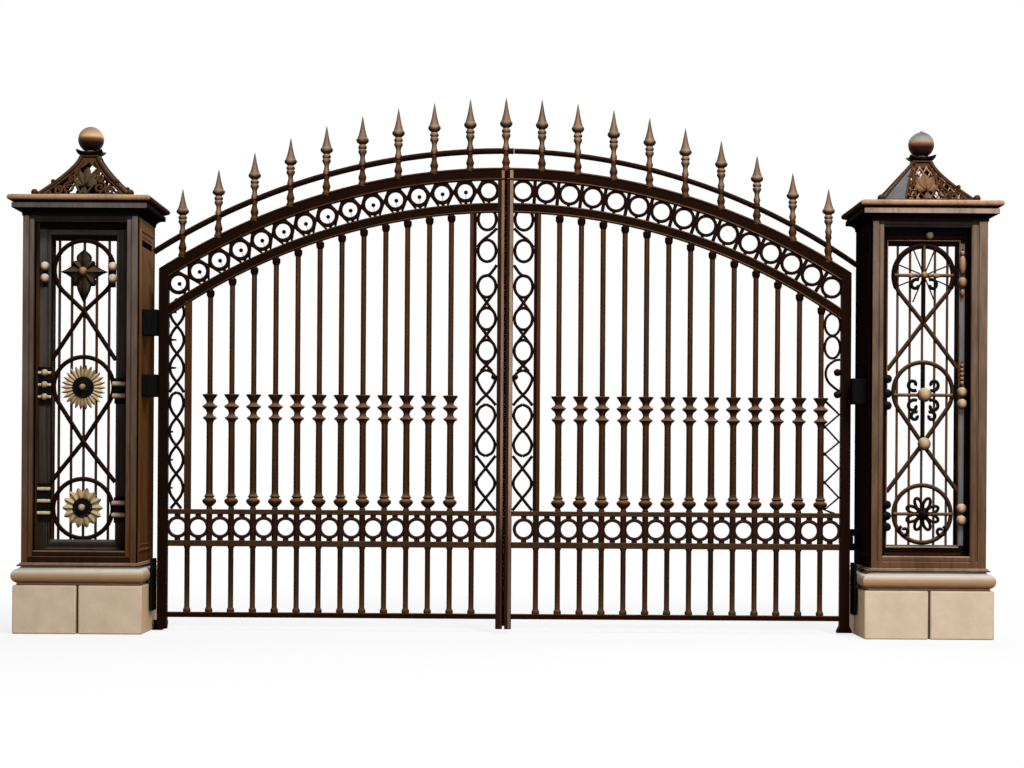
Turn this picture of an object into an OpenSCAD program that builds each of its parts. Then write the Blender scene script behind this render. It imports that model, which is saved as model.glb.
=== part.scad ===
// Wrought iron driveway gate: two arched leaves hung between two openwork iron pillars
// on stone plinths. Millimetres, +Z up, ground at Z = 0, origin midway between the
// pillars. The front faces -Y and the leaves open towards +Y.

/* [Pillars] */
// Clear width between the inner faces of the two pillars
opening_w = 3630; // [3500:10:3800]
// Width and depth of a pillar's iron body
pillar_w = 570; // [540:5:620]
// Height of the iron body, from base plate to cornice
body_h = 1715; // [1650:5:1800]
// Width of the upright members of the front and back frames
frame_stile_w = 60; // [45:1:70]
// Height of the bottom member of the front and back frames
frame_bottom_h = 59; // [40:1:80]
// Height of the top member of the front and back frames
frame_top_h = 33; // [20:1:60]
// Depth of the front and back frames
frame_d = 40; // [25:1:55]
// Thickness of the side walls
wall_t = 10; // [5:1:20]

/* [Plinths] */
// How far the stone plinth stands out from the pillar's faces
plinth_over = 35; // [20:1:42]
// Height of the stone plinth under its coping
plinth_h = 244; // [200:2:300]
// How far the rounded coping stands out from the pillar's faces
coping_over = 43; // [36:1:48]
// Height of the coping
coping_h = 89; // [60:1:110]
// Radius of the coping's rounded edges
coping_round = 22; // [8:1:28]
// How far the iron base plate stands out from the pillar's faces
base_plate_over = 18; // [5:1:30]
// Height of the iron base plate
base_plate_h = 18; // [10:1:30]

/* [Pillar caps] */
// How far the cornice slab stands out from the pillar's faces
slab_over = 68; // [50:1:72]
// Height of the cornice slab
slab_h = 37; // [25:1:50]
// How far the fillet under the slab is set back from its edge
fillet_setback = 20; // [10:1:30]
// Height of that fillet
fillet_h = 29; // [15:1:40]
// Height of the hollow moulding under the fillet
cavetto_h = 35; // [20:1:50]
// Width of the pagoda roof at its base
roof_base_w = 480; // [420:5:560]
// Width of the pagoda roof at its top
roof_top_w = 100; // [80:2:120]
// Height of the pagoda roof
roof_h = 221; // [180:1:260]
// Thickness of the roof's hip ribs
roof_rib = 22; // [14:1:30]
// Thickness of the fretwork bars in the roof's faces
roof_fret = 11; // [7:1:16]
// How hollow the roof's slopes are, 1 being straight
roof_hollow = 1.25; // [1:0.05:2]
// Width of the square collar on the roof
collar_w = 132; // [100:2:140]
// Height of that collar
collar_h = 18; // [14:1:30]
// Diameter of the ball finial
ball_d = 130; // [100:2:150]
// Height of the neck between collar and ball
neck_h = 7; // [6:1:24]

/* [Pillar grilles] */
// Depth from a pillar's face to the middle of its grille
grille_recess = 120; // [90:1:150]
// Clear width of the grille's inner frame
grille_open_w = 320; // [290:2:340]
// Width of the inner frame's upright members
grille_member_w = 62; // [40:1:75]
// Height of the inner frame's bottom member
grille_bottom_h = 104; // [80:1:130]
// Height of the inner frame's top member
grille_top_h = 91; // [60:1:120]
// Depth of the inner frame
grille_frame_d = 30; // [20:1:40]
// Width and depth of the upright grille bars
grille_bar = 14; // [8:1:18]
// Spacing of the upright grille bars
grille_pitch = 62; // [54:1:68]
// Width of the curved straps
strap_w = 20; // [12:1:26]
// Depth of the curved straps
strap_d = 20; // [16:1:28]
// Drop from the top of the pillar body to the top loop's centre
loop_top_drop = 260; // [255:1:300]
// How far the middle loop's centre lies above the middle of the other two
loop_mid_shift = 14; // [0:1:40]
// Height of the bottom loop's centre above the pillar body's foot
loop_low_z = 266; // [262:1:300]
// Radius of the loops at the middle of their straps
loop_r = 148; // [120:1:150]
// Drop from the top loop to the crossing of its straps, on the left pillar
left_cross_drop = 64; // [30:1:100]
// Drop from the top loop to the crossing of its straps, on the right pillar
right_cross_drop = 96; // [30:1:120]
// Drop from the middle loop to the crossing of its straps
low_cross_drop = 126; // [80:1:160]

/* [Leaf frames] */
// Gap between the pillar's inner face and the hinge stile
post_gap = 65; // [62:1:75]
// Width and depth of the hinge stile
hinge_stile_w = 50; // [40:1:60]
// Gap between the two meeting stiles
meeting_gap = 10; // [9:0.5:14]
// Width and depth of the meeting stile
meeting_stile_w = 35; // [28:1:45]
// Clear width of the scroll panel beside the meeting stile
meeting_panel_w = 106; // [96:1:116]
// Clear width of the scroll panel beside the hinge stile
hinge_panel_w = 82; // [74:1:96]
// Width and depth of the inner stiles beside the scroll panels
inner_stile_w = 34; // [26:1:40]
// Outer radius of the arched top rail
arch_r = 3203; // [3050:1:3400]
// Height of the top of the arch above the ground
arch_apex = 2351; // [2250:1:2450]
// Height of the arched top rail
top_rail_h = 51; // [40:1:60]
// Depth of the arched rails
arch_rail_d = 42; // [30:1:50]
// Height of the ring row between the arched rails
ring_row_h = 126; // [116:1:136]
// Height of the arched lower rail
lower_rail_h = 36; // [26:1:46]
// Clear height between the top rail and the spear rail
spear_rail_gap = 73; // [60:1:90]
// Height and depth of the spear rail
spear_rail_h = 26; // [24:1:34]
// Height of the bottom of the meeting stiles above the ground
meeting_stile_foot = 18; // [10:1:40]
// Height of the bottom of the hinge stiles above the ground
hinge_stile_foot = 10; // [9:1:20]
// Height of the underside of the bottom rail above the ground
bottom_rail_z = 69; // [60:1:90]
// Height of the bottom rail
bottom_rail_h = 26; // [20:1:36]
// Height of the underside of the ring band above the ground
band_z = 428; // [400:1:460]
// Height of the ring band's lower rail
band_low_h = 30; // [20:1:40]
// Clear height of the ring band
band_h = 132; // [122:1:142]
// Height of the ring band's upper rail
band_top_h = 25; // [18:1:36]
// Depth of the straight rails
rail_d = 36; // [30:1:44]

/* [Leaf bars and ornaments] */
// Widest spacing of the upright bars across a leaf, inner stiles included
bar_space = 112; // [104:1:118]
// Diameter of the pickets above their collars
picket_d = 27; // [22:1:32]
// Diameter of the pickets below their collars
picket_low_d = 34; // [26:1:38]
// Height of the middle collar of the pickets above the ground
collar_z = 1136; // [1000:2:1250]
// Diameter of the widest collar of the pickets
picket_collar_d = 72; // [50:1:76]
// Distance of the lower small collar below the middle one
collar_drop = 56; // [45:1:80]
// Distance of the crown's rim above the middle collar
collar_rise = 60; // [50:1:80]
// Height of the crown, a cup that opens upwards
crown_h = 40; // [24:1:48]
// Half height of the small collars
collar_half = 14; // [8:1:16]
// Height of the bulb at the foot of the pickets
bulb_h = 80; // [60:1:110]
// Diameter of the bulb at the foot of the pickets
picket_bulb_d = 72; // [50:1:76]
// Diameter of the lower bars
lower_bar_d = 27; // [18:1:30]
// Widest spacing of the rings in the arched ring row
ring_space = 119; // [110:1:124]
// Outer diameter of the arched row's rings
ring_d = 114; // [104:1:116]
// Width of the bar that the left leaf's arched row is bent from
left_arch_bar = 17; // [10:1:19]
// Width of the bar that the right leaf's arched row is bent from
right_arch_bar = 12; // [8:1:16]
// Width of the bar that the bands' rings and the scrolls are bent from
ring_bar = 15; // [8:1:17]
// Depth of that bar
ring_depth = 16; // [10:1:24]
// Spacing of the rings in the scroll panel beside the meeting stile
meeting_ring_pitch = 163; // [140:1:180]
// Spacing of the crossings in the scroll panel beside the hinge stile
wave_pitch = 129; // [110:1:150]
// Height of the zigzag bar in the right hinge panel
zigzag_h = 578; // [480:1:640]
// Radius of the knobs in the right hinge panel
knob_r = 18; // [12:1:24]
// Length of the spikes in the left hinge panel
spike_l = 28; // [18:1:36]
// Number of spears on one leaf, the middle one left out
spear_count = 9; // [7:1:10]
// Diameter of the spears' shafts
spear_d = 22; // [16:1:22]
// Diameter of the spearheads
spear_head_d = 66; // [50:1:68]
// Height of a spear's tip above the middle of the spear rail, near the middle of the gate
spear_h = 270; // [200:1:300]
// How much shorter a spear beside the pillar is
spear_fall = 42; // [0:1:60]

/* [Hinges] */
// Distance of the hinge line from the pillar's inner face
hinge_gap = 55; // [50:1:58]
// Distance of the hinge line behind the middle of the leaf
hinge_back = 60; // [56:1:70]
// Diameter of the hinge knuckles
knuckle_d = 36; // [30:1:38]
// Height of one knuckle
knuckle_h = 36; // [28:1:44]
// Diameter of the hinge pins
pin_d = 18; // [12:1:20]
// Radial clearance of a pin in its knuckle
pin_clear = 0.1; // [0.05:0.01:0.1]
// Gap between two knuckles
knuckle_gap = 0.5; // [0.3:0.1:1]
// Thickness of the hinge plates
hinge_plate_t = 12; // [8:1:14]
// Heights of the left hinges above the ground
left_hinge_zs = [1240, 1550];
// Heights of the right hinges above the ground
right_hinge_zs = [480, 1240];

/* [Hidden] */
$fn = 48;
arc_fn = 720;
left = -1;
right = 1;

// Clearance of curved faces that seat on one another
seat = 0.2;
// Overlap of solids that are joined into one
weld = 1;

bronze = "#4a3323";
dark_bronze = "#2b1f18";
gold = "#b98f4a";
stone = "#c9b08f";
black_iron = "#191614";

// Pillar levels
face_x = opening_w / 2;
pillar_x = face_x + pillar_w / 2;
coping_z = plinth_h;
base_plate_z = coping_z + coping_h;
body_z = base_plate_z + base_plate_h;
cornice_z = body_z + body_h;
cornice_h = cavetto_h + fillet_h + slab_h;
roof_z = cornice_z + cornice_h;
collar_base_z = roof_z + roof_h;
plinth_w = pillar_w + 2 * plinth_over;
coping_w = pillar_w + 2 * coping_over;
base_plate_w = pillar_w + 2 * base_plate_over;
slab_w = pillar_w + 2 * slab_over;
plinth_edge_x = face_x - plinth_over;
widest_edge_x = face_x - max(plinth_over, coping_over, base_plate_over);

// Grille places, relative to the pillar's middle
grille_y = -pillar_w / 2 + grille_recess;
grille_frame_w = grille_open_w + 2 * grille_member_w;
grille_front_y = grille_y - grille_frame_d / 2;
strap_front_y = grille_y - strap_d / 2;
bar_front_y = grille_y - grille_bar / 2;
ornament_x = (grille_open_w + grille_member_w) / 2;
loop_top_z = body_h - loop_top_drop;
loop_mid_z = (loop_top_z + loop_low_z) / 2 + loop_mid_shift;
cross_low_z = loop_mid_z - loop_r - low_cross_drop;

function cross_high_z(side) = loop_top_z - loop_r - (side == left ? left_cross_drop : right_cross_drop);

// Leaf places, for the right leaf
hinge_x = face_x - hinge_gap;
hinge_stile_x1 = face_x - post_gap;
hinge_stile_x0 = hinge_stile_x1 - hinge_stile_w;
meeting_x0 = meeting_gap / 2;
meeting_x1 = meeting_x0 + meeting_stile_w;
first_bar_x = meeting_x1 + meeting_panel_w + inner_stile_w / 2;
last_bar_x = hinge_stile_x0 - hinge_panel_w - inner_stile_w / 2;
bar_count = ceil((last_bar_x - first_bar_x) / bar_space) + 1;
bar_pitch = (last_bar_x - first_bar_x) / (bar_count - 1);
bar_xs = [for (i = [0 : bar_count - 1]) first_bar_x + i * bar_pitch];

// Arch levels
arch_z = arch_apex - arch_r;
ring_row_r1 = arch_r - top_rail_h;
ring_row_r0 = ring_row_r1 - ring_row_h;
arch_under_r = ring_row_r0 - lower_rail_h;
ring_row_r = (ring_row_r0 + ring_row_r1) / 2;
spear_rail_r0 = arch_r + spear_rail_gap;
spear_rail_r1 = spear_rail_r0 + spear_rail_h;
spear_rail_r = (spear_rail_r0 + spear_rail_r1) / 2;
spear_rail_end_x = hinge_stile_x1 + 28;
spear_pitch = hinge_stile_x1 / (spear_count + 0.64);
spear_xs = [for (i = [1 : spear_count]) i * spear_pitch];
middle_plate_h = 9;
middle_plate_gap = 7;
middle_plate_z = arch_apex + middle_plate_gap;
middle_plate_half = 28;
middle_rail_lap = spear_head_d / 2 + 1;
middle_rail_gap = 9;

// Straight rail levels
band_low_top = band_z + band_low_h;
band_top_z = band_low_top + band_h;
rail_top = band_top_z + band_top_h;
bottom_rail_top = bottom_rail_z + bottom_rail_h;

function arch_height(r, x) = arch_z + sqrt(r * r - x * x);

// Shared shapes

module on_side(side) {
    if (side == right) children();
    else mirror([1, 0, 0]) children();
}

module on_pillar(side) {
    translate([side * pillar_x, 0, 0]) children();
}

// A flat piece drawn in X and Z, standing upright and centred on Y = 0
module upright(depth) {
    rotate([90, 0, 0]) linear_extrude(height = depth, center = true) children();
}

// A box given by its lowest and highest corner
module box(low, high) {
    translate(low) cube(high - low);
}

// A square block with the moulded profile [half width, height]
module moulded_square(profile) {
    rotate([0, 0, 45]) rotate_extrude($fn = 4)
        polygon([for (p = profile) [p[0] * sqrt(2), p[1]]]);
}

module turned(profile) {
    rotate_extrude() polygon(profile);
}

module ring_2d(outer_d, bar) {
    difference() {
        circle(d = outer_d);
        circle(d = outer_d - 2 * bar);
    }
}

// A straight bar with round ends between two points
module strip_2d(a, b, w) {
    run = b - a;
    translate(a) rotate(atan2(run[1], run[0])) {
        translate([0, -w / 2]) square([norm(run), w]);
        circle(d = w, $fn = 16);
        translate([norm(run), 0]) circle(d = w, $fn = 16);
    }
}

// Everything between two radii of the arch and two upright lines
module arch_band_2d(r0, r1, x0, x1) {
    translate([0, arch_z]) intersection() {
        difference() {
            circle(r = r1, $fn = arc_fn);
            circle(r = r0, $fn = arc_fn);
        }
        translate([x0, 0]) square([x1 - x0, r1]);
    }
}

module arch_disc(r, depth) {
    translate([0, 0, arch_z]) rotate([90, 0, 0])
        cylinder(r = r, h = depth, center = true, $fn = arc_fn);
}

// Pillars

module plinth(side) {
    color(stone) on_pillar(side)
        translate([-plinth_w / 2, -plinth_w / 2, 0]) cube([plinth_w, plinth_w, plinth_h]);
}

module plinth_coping(side) {
    half = coping_w / 2;
    inner = half - coping_round;
    steps = [0 : 15 : 90];
    profile = concat(
        [[0, 0]],
        [for (a = steps) [inner + coping_round * sin(a), coping_round * (1 - cos(a))]],
        [for (a = steps) [inner + coping_round * cos(a), coping_h - coping_round * (1 - sin(a))]],
        [[0, coping_h]]);
    color(stone) on_pillar(side) translate([0, 0, coping_z]) moulded_square(profile);
}

module base_plate(side) {
    color(bronze) on_pillar(side) translate([-base_plate_w / 2, -base_plate_w / 2, base_plate_z])
        cube([base_plate_w, base_plate_w, base_plate_h]);
}

// The outline shared by the front and back frames, from the body's foot up
module face_frame() {
    upright(frame_d) difference() {
        translate([-pillar_w / 2, 0]) square([pillar_w, body_h]);
        translate([-pillar_w / 2 + frame_stile_w, frame_bottom_h])
            square([pillar_w - 2 * frame_stile_w, body_h - frame_bottom_h - frame_top_h]);
    }
}

module front_frame(side) {
    color(bronze) on_pillar(side)
        translate([0, -pillar_w / 2 + frame_d / 2, body_z]) face_frame();
}

module back_frame(side) {
    color(bronze) on_pillar(side)
        translate([0, pillar_w / 2 - frame_d / 2, body_z]) face_frame();
}

module back_bars(side) {
    color(bronze) on_pillar(side) for (i = [-2 : 2])
        translate([i * grille_pitch - grille_bar / 2, -grille_y - grille_bar / 2, body_z])
            cube([grille_bar, grille_bar, body_h]);
}

module side_walls(side) {
    color(bronze) on_pillar(side) for (s = [-1, 1])
        translate([s * (pillar_w - wall_t) / 2 - wall_t / 2, -pillar_w / 2 + frame_d, body_z])
            cube([wall_t, pillar_w - 2 * frame_d, body_h]);
}

module cornice(side) {
    body = pillar_w / 2;
    slab = slab_w / 2;
    fillet = slab - fillet_setback;
    hollow = fillet - body;
    profile = concat(
        [[0, 0]],
        [for (a = [0 : 15 : 90])
            [body + hollow * (1 - cos(a)), cavetto_h * sin(a)]],
        [[fillet, cavetto_h + fillet_h], [slab, cavetto_h + fillet_h],
         [slab, cornice_h], [0, cornice_h]]);
    color(bronze) on_pillar(side) translate([0, 0, cornice_z]) moulded_square(profile);
}

// Half width of the roof at a share t of its height, hollow like a pagoda's
function roof_half(t) = roof_top_w / 2 + (roof_base_w - roof_top_w) / 2 * pow(1 - t, roof_hollow);

// A point of the front face, u across from -1 to 1 and t up from 0 to 1
function roof_point(u, t) = [u * roof_half(t), -roof_half(t), t * roof_h];

// A bar that runs through points, made of short straight lengths
module bar_path(points, w) {
    for (i = [0 : len(points) - 2]) hull() {
        translate(points[i]) cube(w, center = true);
        translate(points[i + 1]) cube(w, center = true);
    }
}

module roof_face() {
    top_t = 0.97;
    scroll = [for (a = [-60 : 30 : 240])
        [0.46 + 0.30 * cos(a), 0.24 + 0.17 * sin(a)]];
    bar_path([for (i = [0 : 6]) roof_point(0, i / 6 * top_t)], roof_fret);
    for (s = [-1, 1]) {
        bar_path([for (p = scroll) roof_point(s * p[0], p[1])], roof_fret);
        bar_path([for (i = [0 : 5]) roof_point(s * 0.62 * cos(i * 18), 0.40 + 0.10 * i)], roof_fret);
    }
    bar_path([roof_point(-1, 0.03), roof_point(1, 0.03)], roof_rib);
}

// A closed face of the roof, between the lines of its two hip ribs
module roof_sheet() {
    sheet_t = roof_fret / 2;
    rows = 8;
    for (i = [0 : rows - 1]) hull() for (t = [i / rows, (i + 1) / rows])
        translate([0, -roof_half(t), t * roof_h])
            cube([2 * roof_half(t), sheet_t, sheet_t], center = true);
}

module pagoda_roof(side) {
    color(dark_bronze) on_pillar(side) translate([0, 0, roof_z]) {
        intersection() {
            translate([-slab_w / 2, -slab_w / 2, 0]) cube([slab_w, slab_w, roof_h]);
            for (turn = [0 : 90 : 270]) rotate([0, 0, turn]) {
                bar_path([for (i = [0 : 8]) roof_point(1, i / 8)], roof_rib);
                if (turn % 180 == 0) roof_face();
                else roof_sheet();
            }
        }
    }
}

module ball_finial(side) {
    ball_r = ball_d / 2;
    sink = ball_r * 0.1;
    color(bronze) on_pillar(side) translate([0, 0, collar_base_z]) {
        translate([-roof_top_w / 2, -roof_top_w / 2, 0])
            cube([roof_top_w, roof_top_w, collar_h / 2]);
        translate([-collar_w / 2, -collar_w / 2, collar_h / 2])
            cube([collar_w, collar_w, collar_h]);
        translate([0, 0, collar_h * 1.5 - weld]) cylinder(d = ball_d * 0.42, h = neck_h + sink + weld);
        translate([0, 0, collar_h * 1.5 + neck_h - sink + ball_r]) sphere(r = ball_r);
    }
}

// Straps of one loop that run down, cross in the middle and reach the inner frame
module crossing_straps(loop_z, cross_z, side_z) {
    drop = loop_z - cross_z;
    lean = asin(loop_r / drop);
    run = sqrt(drop * drop - loop_r * loop_r);
    for (s = [-1, 1]) {
        strip_2d([s * run * sin(lean), cross_z + run * cos(lean)], [0, cross_z], strap_w);
        strip_2d([0, cross_z], [s * grille_open_w / 2, side_z], strap_w);
    }
}

module grille(side) {
    grille_open_h = body_h - grille_bottom_h - grille_top_h;
    color(bronze) on_pillar(side) translate([0, grille_y, body_z]) {
        upright(grille_frame_d) difference() {
            translate([-grille_frame_w / 2, 0]) square([grille_frame_w, body_h]);
            translate([-grille_open_w / 2, grille_bottom_h]) square([grille_open_w, grille_open_h]);
        }
        upright(grille_bar) for (i = [-2 : 2])
            translate([i * grille_pitch - grille_bar / 2, grille_bottom_h - weld])
                square([grille_bar, grille_open_h + 2 * weld]);
        upright(strap_d) intersection() {
            translate([-grille_open_w / 2 - weld, grille_bottom_h - weld])
                square([grille_open_w + 2 * weld, grille_open_h + 2 * weld]);
            union() {
                for (z = [loop_top_z, loop_mid_z, loop_low_z])
                    translate([0, z]) ring_2d(2 * loop_r + strap_w, strap_w);
                crossing_straps(loop_top_z, cross_high_z(side), loop_mid_z + loop_r * 0.9);
                crossing_straps(loop_mid_z, cross_low_z, loop_low_z + loop_r * 0.9);
            }
        }
    }
}

// A flower that lies on the grille's straps: petals cut from one plate round a disc with
// a ball on it. A higher point makes the petals narrower and sharper.
module rosette(petals, outer_r, point, disc_r, ball_r) {
    petal_t = 8;
    disc_t = 14;
    steps = 8 * petals;
    inner_r = disc_r * 0.9;
    outline = [for (k = [0 : steps - 1])
        let (a = k * 360 / steps, swell = pow(abs(cos(a * petals / 2)), point))
        (inner_r + (outer_r - inner_r) * swell) * [sin(a), cos(a)]];
    rotate([90, 0, 0]) {
        linear_extrude(height = petal_t) polygon(outline);
        cylinder(r = disc_r, h = disc_t);
        translate([0, 0, max(disc_t, ball_r)]) sphere(r = ball_r);
    }
}

// A ball on a short stem that stands on the inner frame
module frame_ball(ball_r) {
    rotate([90, 0, 0]) cylinder(r = ball_r * 0.45, h = ball_r);
    translate([0, -ball_r - weld, 0]) sphere(r = ball_r);
}

// A flat band across a member of the inner frame
module frame_band() {
    band_w = 72;
    band_t = 20;
    translate([-band_w / 2, -band_t, -band_t / 2]) cube([band_w, band_t, band_t]);
}

module left_ornaments() {
    ball_r = 25;
    spacing = 60;
    translate([0, bar_front_y, 0]) {
        translate([0, 0, loop_top_z - 9]) rosette(4, 124, 1.4, 34, 22);
        translate([0, 0, loop_mid_z - 4]) rosette(16, 108, 0.5, 54, 18);
        translate([0, 0, loop_low_z + 4]) rosette(14, 100, 0.5, 48, 20);
    }
    translate([0, grille_front_y, 0]) for (s = [-1, 1]) {
        for (i = [0, 1])
            translate([s * ornament_x, 0, loop_top_z + 16 - i * spacing]) frame_ball(ball_r);
        for (i = [0 : s < 0 ? 2 : 1]) {
            translate([s * ornament_x, 0, loop_mid_z + 66 - i * spacing]) frame_band();
            translate([s * ornament_x, 0, loop_low_z + 96 - i * spacing]) frame_band();
        }
    }
}

// A flat scroll drawn as an open ring
module c_scroll_2d(r, bar) {
    difference() {
        ring_2d(2 * r, bar);
        rotate(-30) square(r + bar);
    }
}

module right_ornaments() {
    ball_r = 26;
    spacing = 58;
    spoke_w = 9;
    flat_t = 10;
    scroll_r = 42;
    scroll_bar = 10;
    wheel_r = loop_r - spoke_w / 2;
    translate([0, strap_front_y - flat_t / 2, 0]) {
        translate([0, 0, loop_top_z]) upright(flat_t) {
            for (a = [0 : 45 : 135])
                strip_2d(-wheel_r * [cos(a), sin(a)], wheel_r * [cos(a), sin(a)], spoke_w);
            circle(r = ball_r * 1.4);
        }
        translate([0, 0, loop_mid_z]) upright(flat_t) {
            strip_2d([-wheel_r, 0], [wheel_r, 0], spoke_w);
            strip_2d([0, -wheel_r], [0, wheel_r], spoke_w);
            circle(r = ball_r * 1.6);
            for (sx = [-1, 1], sz = [-1, 1])
                translate([sx * scroll_r * 1.15, sz * scroll_r * 1.15])
                    rotate(sx * sz * 45 + (sx < 0 ? 180 : 0)) c_scroll_2d(scroll_r, scroll_bar);
        }
        translate([0, 0, loop_low_z]) upright(flat_t) {
            ring_2d(2 * scroll_r, scroll_bar);
            for (a = [0 : 60 : 300])
                rotate(a) translate([scroll_r * 1.25, 0]) ring_2d(scroll_r * 1.1, scroll_bar);
            strip_2d([-wheel_r, 0], [wheel_r, 0], spoke_w);
        }
    }
    translate([0, strap_front_y - flat_t, 0]) {
        translate([0, 0, loop_top_z]) frame_ball(ball_r);
        translate([0, 0, loop_mid_z]) frame_ball(ball_r * 1.3);
        translate([0, 0, loop_low_z]) frame_ball(ball_r);
    }
    translate([0, strap_front_y, cross_low_z]) frame_ball(ball_r * 1.3);
    translate([0, grille_front_y, 0]) {
        for (z = [loop_top_z, loop_mid_z, loop_low_z], s = [-1, 1], i = [0, 1])
            translate([s * ornament_x, 0, z + (0.5 - i) * spacing]) frame_ball(ball_r);
        translate([0, 0, body_h - grille_top_h / 2]) frame_ball(ball_r * 0.8);
    }
}

module grille_ornaments(side) {
    color(gold) on_pillar(side) translate([0, 0, body_z])
        if (side == left) left_ornaments();
        else right_ornaments();
}

// Spurs of plate and knuckle that one hinge has on the pillar
module hinge_bracket(z) {
    half = 1.5 * knuckle_h + knuckle_gap;
    arm = knuckle_d * 0.6;
    plate_half_y = 45;
    box([face_x - hinge_plate_t, hinge_back - plate_half_y, z - half],
        [face_x, hinge_back + plate_half_y, z + half]);
    for (s = [-1, 1]) translate([0, 0, z + s * (knuckle_h + knuckle_gap)]) {
        translate([hinge_x, hinge_back, 0]) cylinder(d = knuckle_d, h = knuckle_h, center = true);
        box([hinge_x, hinge_back - arm / 2, -knuckle_h / 2],
            [face_x - hinge_plate_t + weld, hinge_back + arm / 2, knuckle_h / 2]);
    }
    translate([hinge_x, hinge_back, z]) cylinder(d = pin_d, h = 2 * half, center = true);
}

// Plate that stands in front of the coping and is bolted to the plinth behind it
module jamb_plate() {
    plate_x1 = widest_edge_x - seat;
    low_z = 105;
    top_z = body_z + 15;
    front_y = -110;
    back_y = 30;
    mid_y = (front_y + back_y) / 2;
    spacer_h = 36;
    spacer_w = 50;
    spacer_top = plinth_h - 8;
    box([plate_x1 - hinge_plate_t, front_y, low_z], [plate_x1, back_y, top_z]);
    for (z = [low_z, spacer_top - spacer_h])
        box([plate_x1 - weld, mid_y - spacer_w / 2, z], [plinth_edge_x, mid_y + spacer_w / 2, z + spacer_h]);
}

pivot_arm_z = 26;
pivot_arm_h = 24;

// Socket on the ground that carries the foot of the left leaf
module pivot_shoe() {
    flange_h = 4;
    flange = 30;
    pin_top = pivot_arm_z + pivot_arm_h;
    box([hinge_x - flange, hinge_back - flange, 0], [plinth_edge_x, hinge_back + flange, flange_h]);
    translate([hinge_x, hinge_back, 0]) {
        cylinder(d = knuckle_d, h = pivot_arm_z - knuckle_gap);
        cylinder(d = pin_d, h = pin_top);
    }
}

module hinge_brackets(side) {
    color(black_iron) on_side(side) {
        for (z = side == left ? left_hinge_zs : right_hinge_zs) hinge_bracket(z);
        jamb_plate();
        if (side == left) pivot_shoe();
    }
}

// Leaves

// Strap from the back of the hinge stile to the hinge line, with a bore for the pin
module hinge_strap(z0, h) {
    stile_back = hinge_stile_w / 2;
    strap_t = 14;
    web = knuckle_d / 2;
    translate([0, 0, z0]) difference() {
        union() {
            box([hinge_stile_x0, stile_back, 0], [hinge_x + web / 2, stile_back + strap_t, h]);
            box([hinge_x - web / 2, stile_back, 0], [hinge_x + web / 2, hinge_back, h]);
            translate([hinge_x, hinge_back, 0]) cylinder(d = knuckle_d, h = h);
        }
        translate([hinge_x, hinge_back, -1]) cylinder(d = pin_d + 2 * pin_clear, h = h + 2);
    }
}

module hinge_knuckles(side) {
    color(black_iron) on_side(side) {
        for (z = side == left ? left_hinge_zs : right_hinge_zs)
            hinge_strap(z - knuckle_h / 2, knuckle_h);
        if (side == left) hinge_strap(pivot_arm_z, pivot_arm_h);
    }
}

module hinge_stile(side) {
    half = hinge_stile_w / 2;
    foot_h = 36;
    foot_flare = 13;
    foot_rim = 10;
    mid = (hinge_stile_x0 + hinge_stile_x1) / 2;
    color(dark_bronze) on_side(side) {
        intersection() {
            box([hinge_stile_x0, -half, hinge_stile_foot], [hinge_stile_x1, half, arch_apex]);
            arch_disc(arch_r, 2 * hinge_stile_w);
        }
        if (side == right) translate([mid, 0, hinge_stile_foot]) upright(hinge_stile_w)
            polygon([[-half - foot_flare, 0], [half + foot_flare, 0],
                     [half + foot_flare, foot_rim], [half, foot_h],
                     [-half, foot_h], [-half - foot_flare, foot_rim]]);
    }
}

module meeting_stile(side) {
    half = meeting_stile_w / 2;
    color(bronze) on_side(side) {
        intersection() {
            box([meeting_x0, -half, meeting_stile_foot], [meeting_x1, half, arch_apex]);
            arch_disc(arch_r, 2 * meeting_stile_w);
        }
        if (side == left)
            box([meeting_x0, -half, arch_apex - half], [meeting_x1, half, middle_plate_z]);
    }
}

// A square stile from the ring band up to the arch
module inner_stile(x) {
    half = inner_stile_w / 2;
    intersection() {
        box([x - half, -half, rail_top], [x + half, half, arch_apex]);
        arch_disc(arch_under_r - seat, 2 * inner_stile_w);
    }
}

module inner_stiles(side) {
    color(bronze) on_side(side) {
        inner_stile(first_bar_x);
        if (side == left) inner_stile(last_bar_x);
        else picket(last_bar_x);
    }
}

module arch_rails(side) {
    color(bronze) on_side(side) upright(arch_rail_d) {
        arch_band_2d(ring_row_r1, arch_r, meeting_x1, hinge_stile_x0);
        arch_band_2d(arch_under_r, ring_row_r0, meeting_x1, hinge_stile_x0);
    }
}

module arch_rings(side) {
    margin = 47;
    first = asin((meeting_x1 + margin) / ring_row_r);
    last = asin((hinge_stile_x0 - margin) / ring_row_r);
    run = (last - first) * PI / 180 * ring_row_r;
    ring_count = ceil(run / ring_space) + 1;
    step = (last - first) / (ring_count - 1);
    bar = side == left ? left_arch_bar : right_arch_bar;
    stud_w = 14;
    tie_w = 18;
    tie_h = side == left ? 30 : ring_row_h;
    color(dark_bronze) on_side(side) upright(ring_depth) intersection() {
        arch_band_2d(ring_row_r0 + seat, ring_row_r1 - seat, meeting_x1, hinge_stile_x0);
        translate([0, arch_z]) for (i = [0 : ring_count - 1]) rotate(-first - i * step) {
            translate([0, ring_row_r]) ring_2d(ring_d, bar);
            stud_h = (ring_row_h - ring_d + bar) / 2;
            for (s = [-1, 1])
                translate([-stud_w / 2, ring_row_r + s * (ring_row_h - stud_h) / 2 - stud_h / 2])
                    square([stud_w, stud_h]);
            if (i < ring_count - 1) rotate(-step / 2)
                translate([-tie_w / 2, ring_row_r - tie_h / 2]) square([tie_w, tie_h]);
        }
    }
}

// Places of a leaf's spears, the middle one on the left leaf only
function leaf_spear_xs(side) = side == left ? concat([0], spear_xs) : spear_xs;

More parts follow.
